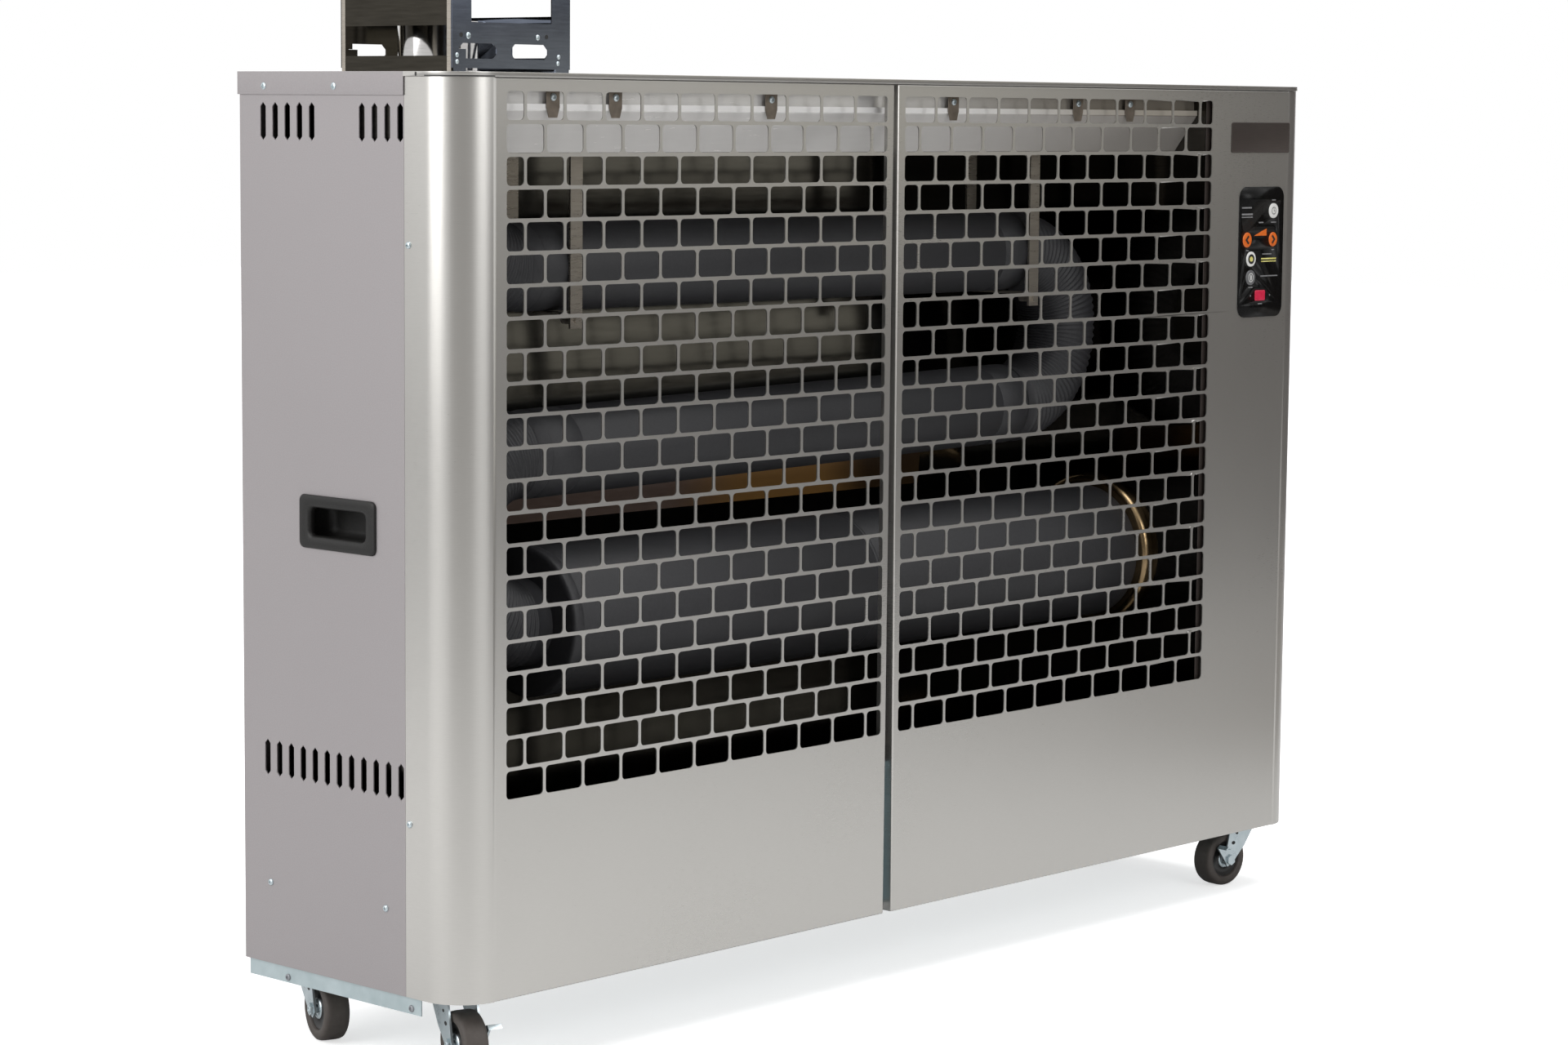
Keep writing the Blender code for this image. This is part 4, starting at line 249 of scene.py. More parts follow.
HUB_BLACK = surface("hub_black", (0.008, 0.008, 0.008), (0.016, 0.016, 0.016), 0.0, (0.30, 0.45),
                    200, 0.10, 0.2)
RED = surface("red_button", (0.50, 0.01, 0.04), (0.62, 0.02, 0.07), 0.0, (0.25, 0.35), scale=200)
ORANGE = surface("orange_button", (0.60, 0.11, 0.01), (0.72, 0.16, 0.02), 0.0, (0.25, 0.35),
                 scale=200)
WHITE = surface("white_button", (0.62, 0.62, 0.60), (0.72, 0.72, 0.70), 0.0, (0.25, 0.35),
                scale=200)
YELLOW = surface("yellow_lamp", (0.58, 0.52, 0.12), (0.76, 0.72, 0.30), 0.0, (0.15, 0.25),
                 scale=200)
GREY = surface("grey_button", (0.10, 0.10, 0.105), (0.15, 0.15, 0.155), 0.0, (0.30, 0.40),
               scale=200)
MARK_GREY = surface("mark_grey", (0.16, 0.16, 0.165), (0.22, 0.22, 0.225), 0.0, (0.4, 0.5),
                    scale=300)
MARK_DARK = surface("mark_dark", (0.010, 0.010, 0.010), (0.018, 0.018, 0.018), 0.0, (0.4, 0.5),
                    scale=300)
CAST_GREY = surface("cast_grey", (0.24, 0.25, 0.27), (0.32, 0.33, 0.35), 0.4, (0.42, 0.58),
                    scale=160)
surface("tank_plastic", (0.010, 0.010, 0.010), (0.020, 0.020, 0.020), 0.0, (0.45, 0.6), scale=150)
surface("copper_pipe", (0.62, 0.33, 0.19), (0.75, 0.45, 0.30), 1.0, (0.22, 0.34), scale=80)
# Painted shade: a near-black finish for the dark inside of gaps and holes.
PAINTED_SHADE_BLACK = surface("gap_painted_shade", (0.006, 0.006, 0.006), (0.012, 0.012, 0.012), 0.0, (0.5, 0.6),
               scale=200)
PLATE_BROWN = surface("bare_plate", (0.046, 0.037, 0.033), (0.060, 0.048, 0.043), 0.3, (0.34, 0.46),
                      60, 0.03, 0.3, 30)
BRACKET_BROWN = surface("bracket_steel", (0.16, 0.135, 0.11), (0.26, 0.22, 0.18), 0.7, (0.30, 0.45),
                        scale=80)
TEAL_STEEL = surface("galvanised_post", (0.16, 0.27, 0.32), (0.24, 0.37, 0.43), 0.5, (0.34, 0.46),
                     55, 0.06, 0.3)

for entry in frame["record"]["subparts"]:
    mesh = frame["nodes"][entry["node"]].data
    mesh.materials.clear()
    mesh.materials.append(FINISHES[entry["material_slot"]])
# The guard's sheets get shaded copies of one polished steel, each painted with the reflection its
# face shows.
for name, finish in (("guard_front", NAVY_STEEL), ("guard_rear", DARK_MIRROR),
                     ("guard_left", DARK_MIRROR),
                     ("guard_right", NAVY_STEEL), ("guard_top", GUARD_STEEL),
                     ("flue_stub", GUARD_STEEL),
                     ("back_reflector", BACK_MIRROR), ("top_reflector", TOP_MIRROR),
                     ("tube_hanger_left", BEIGE_STEEL), ("tube_hanger_right", BEIGE_STEEL)):
    frame["nodes"][name].data.materials[0] = finish


# Building helpers

def placed(name, data):
    """A new object in the scene."""
    made = bpy.data.objects.new(name, data)
    bpy.context.scene.collection.objects.link(made)
    return made


def meshed(bm, name, materials):
    """Turn a bmesh into an object in the scene."""
    mesh = bpy.data.meshes.new(name)
    bm.to_mesh(mesh)
    bm.free()
    for finish in materials:
        mesh.materials.append(finish)
    return placed(name, mesh)


def piece(bm, name, material, body="heater", nodes=(), slot=None, sharp=0.5):
    """Turn a bmesh in cabinet coordinates into a smooth-shaded piece that rides on a body."""
    bmesh.ops.translate(bm, verts=bm.verts, vec=world(0, 0, 0))
    made = meshed(bm, name, material if isinstance(material, tuple) else (material,))
    made.data.shade_smooth()
    made.data.set_sharp_from_angle(angle=sharp)
    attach(made, body)
    if nodes:
        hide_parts(*nodes)
    return made


def shell(bm, *settings, **named):
    """Make all faces look outward, and turn a bmesh into a piece."""
    bmesh.ops.recalc_face_normals(bm, faces=bm.faces)
    return piece(bm, *settings, **named)


def bevel(made, width, segments):
    """Round the sharper bends of a piece."""
    bends = made.modifiers.new("Bends", "BEVEL")
    bends.width = width
    bends.segments = segments
    bends.limit_method = "ANGLE"
    bends.angle_limit = BEND_ANGLE
    return bends


def bevelled(made):
    """Round the edges of a piece a little and keep its flats flat."""
    bevel(made, BRIGHT_EDGE, 2)
    made.modifiers.new("Normals", "WEIGHTED_NORMAL").keep_sharp = True


def thickened(made, thickness=SHEET):
    """Give a skin its sheet, inward."""
    sheet = made.modifiers.new("Sheet", "SOLIDIFY")
    sheet.thickness = thickness
    sheet.offset = -1


def box_into(bm, low, high):
    """Add a box between two corners."""
    size = [b - a for a, b in zip(low, high)]
    middle = [(a + b) / 2 for a, b in zip(low, high)]
    return bmesh.ops.create_cube(bm, size=1.0, matrix=Matrix.Translation(middle)
                                 @ Matrix.Diagonal((*size, 1.0)))["verts"]


def prism_into(bm, points, run):
    """Add a closed prism: a flat outline swept along a straight run."""
    face = bm.faces.new([bm.verts.new(p) for p in points])
    made = bmesh.ops.extrude_face_region(bm, geom=[face])
    moved = [g for g in made["geom"] if isinstance(g, bmesh.types.BMVert)]
    bmesh.ops.translate(bm, verts=moved, vec=run)
    return moved


def rounded(center, along, across, length, width, radius, steps=6):
    """Outline of a rectangle with round corners, in the plane of two directions."""
    center, along, across = Vector(center), Vector(along), Vector(across)
    points = []
    for corner, (sx, sy) in enumerate(((1, 1), (-1, 1), (-1, -1), (1, -1))):
        for i in range(steps + 1):
            angle = (corner + i / steps) * pi / 2
            u = sx * (length / 2 - radius) + radius * cos(angle)
            v = sy * (width / 2 - radius) + radius * sin(angle)
            points.append(center + along * u + across * v)
    return points


def upright(center, *shape):
    """A rounded outline in a plane that faces the front."""
    return rounded(center, (1, 0, 0), (0, 0, 1), *shape)


def rings_into(bm, rings, closed=False, index=0):
    """Join rings of points, each as long as the others, into a skin."""
    rows = [[bm.verts.new(p) for p in ring] for ring in rings]
    pairs = list(zip(rows, rows[1:])) + ([(rows[-1], rows[0])] if closed else [])
    for a, b in pairs:
        for i in range(len(a)):
            j = (i + 1) % len(a)
            bm.faces.new((a[i], a[j], b[j], b[i])).material_index = index
    return rows


def turned_into(bm, profile, center, axis, steps=48, index=0, closed=False):
    """Turn a profile of (radius, height) about an axis; points on the axis close its ends."""
    axis = Vector(axis).normalized()
    turn = axis.to_track_quat("Z", "Y").to_matrix()
    center = Vector(center)
    rings = []
    for radius, height in profile:
        rings.append([center + turn @ Vector((radius * cos(2 * pi * i / steps),
                                              radius * sin(2 * pi * i / steps), height))
                      for i in range(steps)])
    before = len(bm.verts)
    rings_into(bm, rings, closed, index)
    bm.verts.ensure_lookup_table()
    bmesh.ops.remove_doubles(bm, verts=bm.verts[before:], dist=MERGE)
    return bm


def loft_into(bm, path, radii, steps):
    """A round skin along a path in the tubes' upright plane, with a radius for each point."""
    path = [Vector(p) for p in path]
    rings = []
    for i, (point, radius) in enumerate(zip(path, radii)):
        ahead = path[min(i + 1, len(path) - 1)] - path[max(i - 1, 0)]
        side = Vector((0, 1, 0))
        up = ahead.normalized().cross(side).normalized()
        rings.append([point + side * radius * cos(2 * pi * k / steps)
                      + up * radius * sin(2 * pi * k / steps) for k in range(steps)])
    rings_into(bm, rings)
    return bm


def stack_into(bm, rings, index=0):
    """Join rings into a skin and close its two ends."""
    rows = rings_into(bm, rings, index=index)
    for row in (rows[0], rows[-1]):
        bm.faces.new(row).material_index = index


def face_out(bm, axis, way):
    """Make all faces look outward, with the squarest one along an axis looking the given way."""
    bmesh.ops.recalc_face_normals(bm, faces=bm.faces)
    square = max(bm.faces, key=lambda face: abs(face.normal[axis]))
    if square.normal[axis] * way < 0:
        bmesh.ops.reverse_faces(bm, faces=bm.faces)


def head_into(bm, place, axis, radius, height, socket=False):
    """Add a round screw head with a cross recess, or with a round socket, standing on a face."""
    turn = Vector(axis).normalized().to_track_quat("Z", "Y").to_matrix()
    place = Vector(place)
    rings = []
    for size, up, recess in ((1, 0, False), (1, 0.40, False), (0.86, 0.78, False),
                             (0.62, 0.96, False),
                             (1, 1.0, True), (0.85, 0.42, True), (0, 0.42, True)):
        ring = []
        for i in range(24):
            angle = 2 * pi * i / 24
            reach = size * radius
            if recess:
                reach *= 0.48 if socket else 0.14 + 0.36 * abs(cos(2 * angle)) ** 3
            ring.append(place + turn @ Vector((reach * cos(angle), reach * sin(angle),
                                               up * height)))
        rings.append(ring)
    first = len(bm.verts)
    rings_into(bm, rings)
    bm.verts.ensure_lookup_table()
    bmesh.ops.remove_doubles(bm, verts=bm.verts[first:], dist=MERGE)


def cabinet_box(name):
    """Corners of a CAD node in cabinet coordinates."""
    low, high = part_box(name)
    return low - world(0, 0, 0), high - world(0, 0, 0)


# Front covers with round-cornered windows

def window_holes(left, mirrored):
    """The windows of one cover, in a brick pattern, as outlines in x and z."""
    holes = []
    for row in range(CELL_ROWS):
        middle = WINDOW_TOP - (row + 0.5) * ROW_PITCH
        half_first = (row % 2 == 0) != mirrored
        start = left
        for cell in range(CELL_COLUMNS + 1):
            half = cell == 0 if half_first else cell == CELL_COLUMNS
            end = start + CELL_PITCH * (0.5 if half else 1)
            outline = upright(((start + end) / 2, 0, middle),
                              end - start - BAR_WIDTH, ROW_PITCH - BAR_WIDTH, HOLE_CORNER, 3)
            holes.append([(p.x, p.z) for p in outline])
            start = end
    return holes


def flat_fill(outline, holes, place):
    """A flat sheet with its holes, filled as a 2D curve and put in place by a function."""
    curve = bpy.data.curves.new("front", "CURVE")
    curve.dimensions = "2D"
    curve.fill_mode = "BOTH"
    for points in [outline] + holes:
        spline = curve.splines.new("POLY")
        spline.points.add(len(points) - 1)
        for knot, (x, z) in zip(spline.points, points):
            knot.co = (x, z, 0, 1)
        spline.use_cyclic_u = True
    guide = placed("front_guide", curve)
    bpy.context.view_layer.update()
    evaluated = guide.evaluated_get(bpy.context.evaluated_depsgraph_get())
    mesh = bpy.data.meshes.new_from_object(evaluated)
    bm = bmesh.new()
    bm.from_mesh(mesh)
    bpy.data.objects.remove(guide, do_unlink=True)
    bmesh.ops.remove_doubles(bm, verts=bm.verts, dist=0.00001)
    for vert in bm.verts:
        vert.co = place(vert.co.x, vert.co.y)
    return bm


def near(a, b):
    """Whether two places are the same within half a clearance."""
    return abs(a - b) < GAP / 2


def rim(bm, test):
    """The open edges whose two ends both pass a test."""
    return [e for e in bm.edges if e.is_boundary and all(test(v.co) for v in e.verts)]


def fold(bm, edges, run):
    """Fold a flange from open edges and give back its new outer edges."""
    made = bmesh.ops.extrude_edge_only(bm, edges=edges)
    moved = [g for g in made["geom"] if isinstance(g, bmesh.types.BMVert)]
    bmesh.ops.translate(bm, verts=moved, vec=run)
    return [g for g in made["geom"] if isinstance(g, bmesh.types.BMEdge)]


def cover(name, corner_x, turn, split, holes):
    """One front cover: punched face, round corner with its return, and folded edges."""
    inner = corner_x - turn * SHEET / 2
    outline = [(inner, 0), (split[0], 0), (split[1], COVER_TOP), (inner, COVER_TOP)]
    bm = flat_fill(outline, holes, lambda x, z: Vector((x, 0, z)))
    fold(bm, rim(bm, lambda p: near(p.x, inner)), (corner_x - inner, 0, 0))
    on_split = lambda p: near(p.x, split[0] + (split[1] - split[0]) * p.z / COVER_TOP)
    folds = rim(bm, on_split)
    folds += rim(bm, lambda p: near(p.z, COVER_TOP)) + rim(bm, lambda p: near(p.z, 0))
    side = rim(bm, lambda p: near(p.x, corner_x))
    fold(bm, folds, (0, COVER_FLANGE, 0))
    made = bmesh.ops.spin(bm, geom=side, cent=(corner_x, CORNER_RADIUS, 0), axis=(0, 0, 1),
                          angle=turn * pi / 2, steps=CORNER_STEPS, use_duplicate=False)
    last = [g for g in made["geom_last"] if isinstance(g, bmesh.types.BMEdge)]
    fold(bm, last, (0, SEAM_DEPTH - CORNER_RADIUS, 0))
    face_out(bm, 1, -1)
    made = piece(bm, name + "_skin", STAINLESS, nodes=(name,), slot="brushed_stainless")
    bevel(made, 0.0014, 3).use_clamp_overlap = False
    thickened(made)
    split_edges = made.modifiers.new("Edges", "EDGE_SPLIT")
    split_edges.split_angle = radians(35)
    split_edges.use_edge_sharp = False


cover("front_cover_left", CORNER_RADIUS, -1, SPLIT_LEFT, window_holes(WINDOW_LEFT, False))
panel_hole = [(p.x, p.z) for p in upright((PANEL_X, 0, PANEL_Z), 0.077, 0.140,
                                          0.007, 4)]
cover("front_cover_right", CABINET_WIDTH - CORNER_RADIUS, 1, SPLIT_RIGHT,
      window_holes(WINDOW_RIGHT, True) + [panel_hole])


# Heat exchanger

def arc(center, radius, start, sweep, count):
    """Points of an arc in the tubes' upright plane."""
    x, z = center
    return [Vector((x + radius * cos(start + sweep * i / count), TUBE_Y,
                    z + radius * sin(start + sweep * i / count))) for i in range(count + 1)]


def corrugated(name, head, center, radius, start, sweep, ribs, tail):
    """A corrugated bend with plain cuffs and fine rounded ribs."""
    count = ribs * 6
    path = [Vector(head)] + arc(center, radius, start, sweep, count) + [Vector(tail)]
    depth = 0.0019
    radii = [TUBE_RADIUS]
    for i in range(count + 1):
        radii.append(TUBE_RADIUS - 0.0002 - depth * (0.5 + 0.5 * cos(2 * pi * i / 6)))
    radii.append(TUBE_RADIUS)
    bm = loft_into(bmesh.new(), path, radii, 40)
    inner = TUBE_RADIUS - 0.0052
    loft_into(bm, path[::-1], [inner] * len(path), 40)
    bmesh.ops.remove_doubles(bm, verts=bm.verts, dist=MERGE)
    shell(bm, name + "_skin", TUBE_BLACK, nodes=(name,), slot="tube_black", sharp=1.2)


RIGHT_BEND = (TOP_TUBE_Z - MIDDLE_TUBE_Z[1]) / 2
LEFT_BEND = (MIDDLE_TUBE_Z[0] - COMBUSTION_Z) / 2
corrugated("bend_right", (TOP_TUBE[1] + GAP, TUBE_Y, TOP_TUBE_Z),
           (TOP_TUBE[1] + CUFF, MIDDLE_TUBE_Z[1] + RIGHT_BEND), RIGHT_BEND, pi / 2, -pi, 42,
           (MIDDLE_TUBE[1] + GAP, TUBE_Y, MIDDLE_TUBE_Z[1]))
corrugated("bend_left", (MIDDLE_TUBE[0] - GAP, TUBE_Y, MIDDLE_TUBE_Z[0]),
           (MIDDLE_TUBE[0] - CUFF, COMBUSTION_Z + LEFT_BEND), LEFT_BEND, pi / 2, pi, 42,
           (COMBUSTION[0] - GAP, TUBE_Y, COMBUSTION_Z))
corrugated("flue_elbow", (TOP_TUBE[0] - GAP, TUBE_Y, TOP_TUBE_Z),
           (TOP_TUBE[0] - CUFF, TOP_TUBE_Z + RIGHT_BEND), RIGHT_BEND, -pi / 2, -pi / 2, 21,
           (FLUE_X, TUBE_Y, TOP_TUBE_Z + RIGHT_BEND + CUFF))


def tube(name, start, end, radius, node_name):
    """A straight tube with a rolled rim at each end and a shallow swaged line near it."""
    start, end = Vector(start), Vector(end)
    length = (end - start).length
    wall = 0.0015
    edge = 0.0006
    line = 0.042
    profile = [(radius - wall, edge), (radius - wall / 2, 0), (radius, edge), (radius, line),
               (radius - 0.0004, line + 0.0006), (radius, line + 0.0012),
               (radius, length - line - 0.0012), (radius - 0.0004, length - line - 0.0006),
               (radius, length - line), (radius, length - edge), (radius - wall / 2, length),
               (radius - wall, length - edge)]
    bm = turned_into(bmesh.new(), profile, start, end - start, 64, closed=True)
    shell(bm, name + "_skin", TUBE_BLACK, nodes=(node_name,), slot="tube_black", sharp=0.9)


tube("top_tube", (TOP_TUBE[0], TUBE_Y, TOP_TUBE_Z), (TOP_TUBE[1], TUBE_Y, TOP_TUBE_Z), TUBE_RADIUS,
     "top_tube")
tube("middle_tube", (MIDDLE_TUBE[0], TUBE_Y, MIDDLE_TUBE_Z[0]),
     (MIDDLE_TUBE[1], TUBE_Y, MIDDLE_TUBE_Z[1]), TUBE_RADIUS, "middle_tube")


def combustion():
    """The combustion tube with its closed left end, a rolled rim and welded seams."""
    length = COMBUSTION[1] - COMBUSTION[0]
    radius, wall = COMBUSTION_RADIUS, 0.0015
    bore = TUBE_RADIUS - 0.0037
    profile = [(bore, 0.0015), (bore, 0), (radius - 0.006, 0), (radius - 0.004, -0.0002 + 0.0004),
               (radius - 0.0012, 0.0010), (radius, 0.0030)]
    for seam in (0.012, length * 0.50, length * 0.505):
        profile += [(radius, seam), (radius - 0.0005, seam + 0.0008), (radius, seam + 0.0016)]
    profile += [(radius, length - 0.001), (radius - wall, length), (radius - wall, 0.0015)]
    bm = turned_into(bmesh.new(), profile, (COMBUSTION[0], TUBE_Y, COMBUSTION_Z), (1, 0, 0), 80,
                     closed=True)
    shell(bm, "combustion_tube_skin", TUBE_BLACK, nodes=("combustion_tube",), slot="tube_black",
          sharp=0.9)
    bm = bmesh.new()
    outer, thick = 0.088, 0.014
    ring = [(radius + GAP, 0), (outer - 0.007, 0), (outer - 0.0035, 0.0006), (outer - 0.001, 0.003),
            (outer, 0.006), (outer, thick), (radius + GAP, thick)]
    turned_into(bm, ring, (CHAMBER_RIGHT - GAP - thick, TUBE_Y, COMBUSTION_Z), (1, 0, 0), 80,
                closed=True)
    shell(bm, "burner_collar_skin", COPPER, nodes=("burner_collar",), slot="heat_tinted_steel",
          sharp=0.9)


combustion()


def flue():
    """The polished flue stub with its collar on the lid and a rolled upper rim."""
    bottom = TOP_TUBE_Z + RIGHT_BEND + CUFF + GAP
    lid_top = PANEL_HEIGHT + GAP
    inner = FLUE_RADIUS - 0.0015
    profile = [(inner, FLUE_TOP - 0.0008), (FLUE_RADIUS - 0.0007, FLUE_TOP),
               (FLUE_RADIUS, FLUE_TOP - 0.0008),
               (FLUE_RADIUS, lid_top + 0.0020), (FLUE_RADIUS + 0.0006, lid_top + 0.0015),
               (FLUE_RADIUS + 0.0092, lid_top + 0.0015), (FLUE_RADIUS + 0.0100, lid_top + 0.0008),
               (FLUE_RADIUS + 0.0100, lid_top), (FLUE_RADIUS, lid_top), (FLUE_RADIUS, bottom),
               (inner, bottom)]
    bm = turned_into(bmesh.new(), profile, (FLUE_X, TUBE_Y, 0), (0, 0, 1), 64, closed=True)
    shell(bm, "flue_stub_skin", GUARD_STEEL, nodes=("flue_stub",), slot="mirror_stainless",
          sharp=0.9)


flue()


# Lid

def lid():
    """The lid with rounded front corners, folded rims and a dark strip of painted shade for the
    slit over the left corner.
    """
    hair = SHEET / 12
    reach = CORNER_RADIUS + LAP - hair
    bend = [(CORNER_RADIUS - reach * cos(i / CORNER_STEPS * pi / 2),
             CORNER_RADIUS - reach * sin(i / CORNER_STEPS * pi / 2))
            for i in range(CORNER_STEPS + 1)]
    left = [(hair - LAP, CABINET_DEPTH + LAP), (hair - LAP, SEAM_DEPTH)] + bend
    outline = left + [(CABINET_WIDTH - x, y) for x, y in left[::-1]]
    hole = [(FLUE_X + (FLUE_RADIUS + GAP) * cos(2 * pi * i / 64),
             TUBE_Y + (FLUE_RADIUS + GAP) * sin(2 * pi * i / 64)) for i in range(64)]
    bm = flat_fill(outline, [hole], lambda x, y: Vector((x, y, PANEL_HEIGHT)))
    outer = rim(bm, lambda p: (p.x - FLUE_X) ** 2 + (p.y - TUBE_Y) ** 2 > (2 * CORNER_RADIUS) ** 2
                or p.y < CORNER_RADIUS or p.x < CORNER_RADIUS)
    lower = fold(bm, outer, (0, 0, -LID_RIM))
    behind = [e for e in lower if all(v.co.y > SEAM_DEPTH - GAP for v in e.verts)]
    fold(bm, behind, (0, 0, LID_RIM - LID_SKIRT))
    face_out(bm, 2, 1)
    for face in bm.faces:
        if abs(face.normal.x) > 0.9 and face.calc_center_median().y > SEAM_DEPTH:
            face.material_index = 1
    made = piece(bm, "lid_skin", (STAINLESS, PAINTED), nodes=("lid",), slot="brushed_stainless")
    bevel(made, 0.0017, 4)
    thickened(made)
    made.modifiers.new("Normals", "WEIGHTED_NORMAL").keep_sharp = True

    # A dark strip and a small oval over the left corner: painted shade for the slit between the lid
    # and the cover.
    bm = bmesh.new()
    rows = []
    for radius in (reach - 0.0004, reach + 0.00008):
        for height in (COVER_TOP + 0.0004, COVER_TOP + 0.0015):
            rows.append([(CORNER_RADIUS - radius * cos(i / CORNER_STEPS * pi / 2 * 0.97),
                          CORNER_RADIUS - radius * sin(i / CORNER_STEPS * pi / 2 * 0.97), height)
                         for i in range(CORNER_STEPS + 1)])
    order = [rows[0], rows[1], rows[3], rows[2]]
    made = [[bm.verts.new(p) for p in row] for row in order]
    for a, b in zip(made, made[1:] + made[:1]):
        for i in range(CORNER_STEPS):
            bm.faces.new((a[i], a[i + 1], b[i + 1], b[i]))
    outline = rounded((-LAP, 0.0565, COVER_TOP + 0.0024), (0, 1, 0), (0, 0, 1), 0.0024, 0.0038,
                      0.0011, 5)
    stack_into(bm, [outline, [p + Vector((-0.00008, 0, 0)) for p in outline]])
    shell(bm, "lid_corner_slit", PAINTED_SHADE_BLACK, slot="black_plastic")


lid()


# Screws

def screws():
    """All small screw heads, in groups by where they sit."""
    right = CABINET_WIDTH
    bm = bmesh.new()
    for side, face in ((-1, 0.0), (1, right)):
        for y, z in ((0.0683, 0.700), (0.0683, 0.164), (0.2701, 0.0798), (0.1020, 0.0797)):
            head_into(bm, (face, y, z), (side, 0, 0), 0.0033, 0.0019)
        for y in (0.2725, 0.1710):
            head_into(bm, (face + side * (LAP - SHEET / 12), y, 0.8438), (side, 0, 0), 0.0034,
                      0.0010)
    for x in (0.030, 0.35, 0.66, 0.97, right - 0.030):
        for z in (0.020, 0.800):
            head_into(bm, (x, CABINET_DEPTH, z), (0, 1, 0), 0.0033, 0.0014)
    shell(bm, "panel_screws", ZINC, slot="zinc_plated", sharp=0.7)

    bm = bmesh.new()
    low, high = cabinet_box("base_pan")
    for side, face in ((-1, low.x), (1, high.x)):
        for y in (0.2488, 0.0697):
            head_into(bm, (face, y, -0.011), (side, 0, 0), 0.0034, 0.0016, socket=True)
    shell(bm, "pan_screws", CAST_GREY, slot="cast_grey", sharp=0.7)

    bm = bmesh.new()
    front = cabinet_box("guard_front")[0].y
    rear = cabinet_box("guard_rear")[1].y
    for place, way in ((front, -1), (rear, 1)):
        for x, z, radius in ((0.0840, 0.8914, 0.0030), (0.1719, 0.8912, 0.0026),
                             (0.1990, 0.8734, 0.0022),
                             (0.1980, 0.8673, 0.0022), (0.0700, 0.8734, 0.0022),
                             (0.0700, 0.8673, 0.0022)):
            head_into(bm, (x, place, z), (0, way, 0), radius, 0.0010)
    shell(bm, "guard_screws", ZINC, slot="zinc_plated", sharp=0.7)

    # Dark discs over the guard's screw holes: painted shade.
    bm = bmesh.new()
    for place, way in ((front, -1), (rear, 1)):
        for x in (0.0752, 0.1833):
            ring = upright((x, place, 0.8920), 0.0042, 0.0042, 0.0020, 5)
            stack_into(bm, [ring, [p + Vector((0, way * PRINT, 0)) for p in ring]])
    shell(bm, "guard_holes", PAINTED_SHADE_BLACK, slot="black_plastic")

    bm = bmesh.new()
    sheet = 0.0174
    for x in BRACKET_PLACES:
        head_into(bm, (x, sheet - 0.0008, 0.8355), (0, -1, 0), 0.0036, 0.0018)
    shell(bm, "reflector_screws", ZINC, slot="zinc_plated", sharp=0.7)
    bm = bmesh.new()
    for x in BRACKET_PLACES:
        prism_into(bm, [(x - 0.0085, sheet, 0.843), (x + 0.0085, sheet, 0.843),
                        (x + 0.0085, sheet, 0.826),
                        (x + 0.0055, sheet, 0.8165), (x - 0.0055, sheet, 0.8165),
                        (x - 0.0085, sheet, 0.826)], (0, -0.0008, 0))
    bevelled(shell(bm, "reflector_brackets", BRACKET_BROWN, slot="mirror_stainless"))
    # A thin strip on the top reflector's front lip, which carries the painted highlight.
    bm = bmesh.new()
    low, high = cabinet_box("top_reflector")
    box_into(bm, (low.x, 0.0177, 0.8236), (high.x, 0.0179, 0.8292))
    shell(bm, "reflector_lip", LIP_STEEL, slot="mirror_stainless")


screws()


# Handles

def handle(name, side):
    """A recessed grip: a broad rounded rim and a pocket that widens behind it."""
    low, high = cabinet_box(name)
    face = 0.0 if side < 0 else CABINET_WIDTH
    y, z = (low.y + high.y) / 2, (low.z + high.z) / 2
    length, width = high.y - low.y, high.z - low.z
    proud = (-low.x) if side < 0 else high.x - CABINET_WIDTH
    deep = (high.x if side < 0 else CABINET_WIDTH - low.x)
    body = (length - 0.0116, width - 0.0116)
    shape = [
        (body[0] - 0.008, body[1] - 0.008, 0.008, -deep),
             (body[0] - 0.003, body[1] - 0.003, 0.007, -deep + 0.001),
        (body[0], body[1], 0.0055, -deep + 0.004), (body[0], body[1], 0.0055, GAP),
        (length - 0.0004, width - 0.0004, 0.0060, GAP), (length, width, 0.0062, proud * 0.35),
        (length - 0.0008, width - 0.0008, 0.0062, proud * 0.72),
        (length - 0.0034, width - 0.0034, 0.0060, proud), (0.0860, 0.0330, 0.0080, proud * 0.93),
        (0.0820, 0.0290, 0.0070, proud * 0.55), (0.0800, 0.0270, 0.0060, -0.0010),
        (0.0800, 0.0265, 0.0055, -0.0050), (0.0880, 0.0310, 0.0060, -0.0090),
        (0.0880, 0.0310, 0.0070, -deep + 0.009), (0.0820, 0.0260, 0.0080, -deep + 0.0035),
        (0.0700, 0.0180, 0.0070, -deep + 0.0022),
    ]
    rings = [rounded((face + side * out, y, z), (0, 1, 0), (0, 0, 1), long, wide, radius, 6)
             for long, wide, radius, out in shape]
    bm = bmesh.new()
    stack_into(bm, rings)
    shell(bm, name + "_skin", BLACK_PLASTIC, nodes=(name,), slot="black_plastic", sharp=1.1)


handle("handle_cup_left", -1)
handle("handle_cup_right", 1)


# Control panel

BUTTONS = {"timer_button": ("white_button", WHITE), "heat_down_button": ("orange_button", ORANGE),
           "heat_up_button": ("orange_button", ORANGE), "mode_button": ("grey_button", GREY),
           "power_button": ("red_button", RED), "signal_lamp": ("yellow_lamp", WHITE)}


def mark_into(bm, x, z, length, width, radius=0.0002, base=-0.0009, rise=PRINT, index=0):
    """Add a very thin printed mark on the panel or on a button."""
    ring = upright((x, base, z), length, width, min(radius, width / 2.01), 4)
    stack_into(bm, [ring, [p + Vector((0, -rise, 0)) for p in ring]], index)


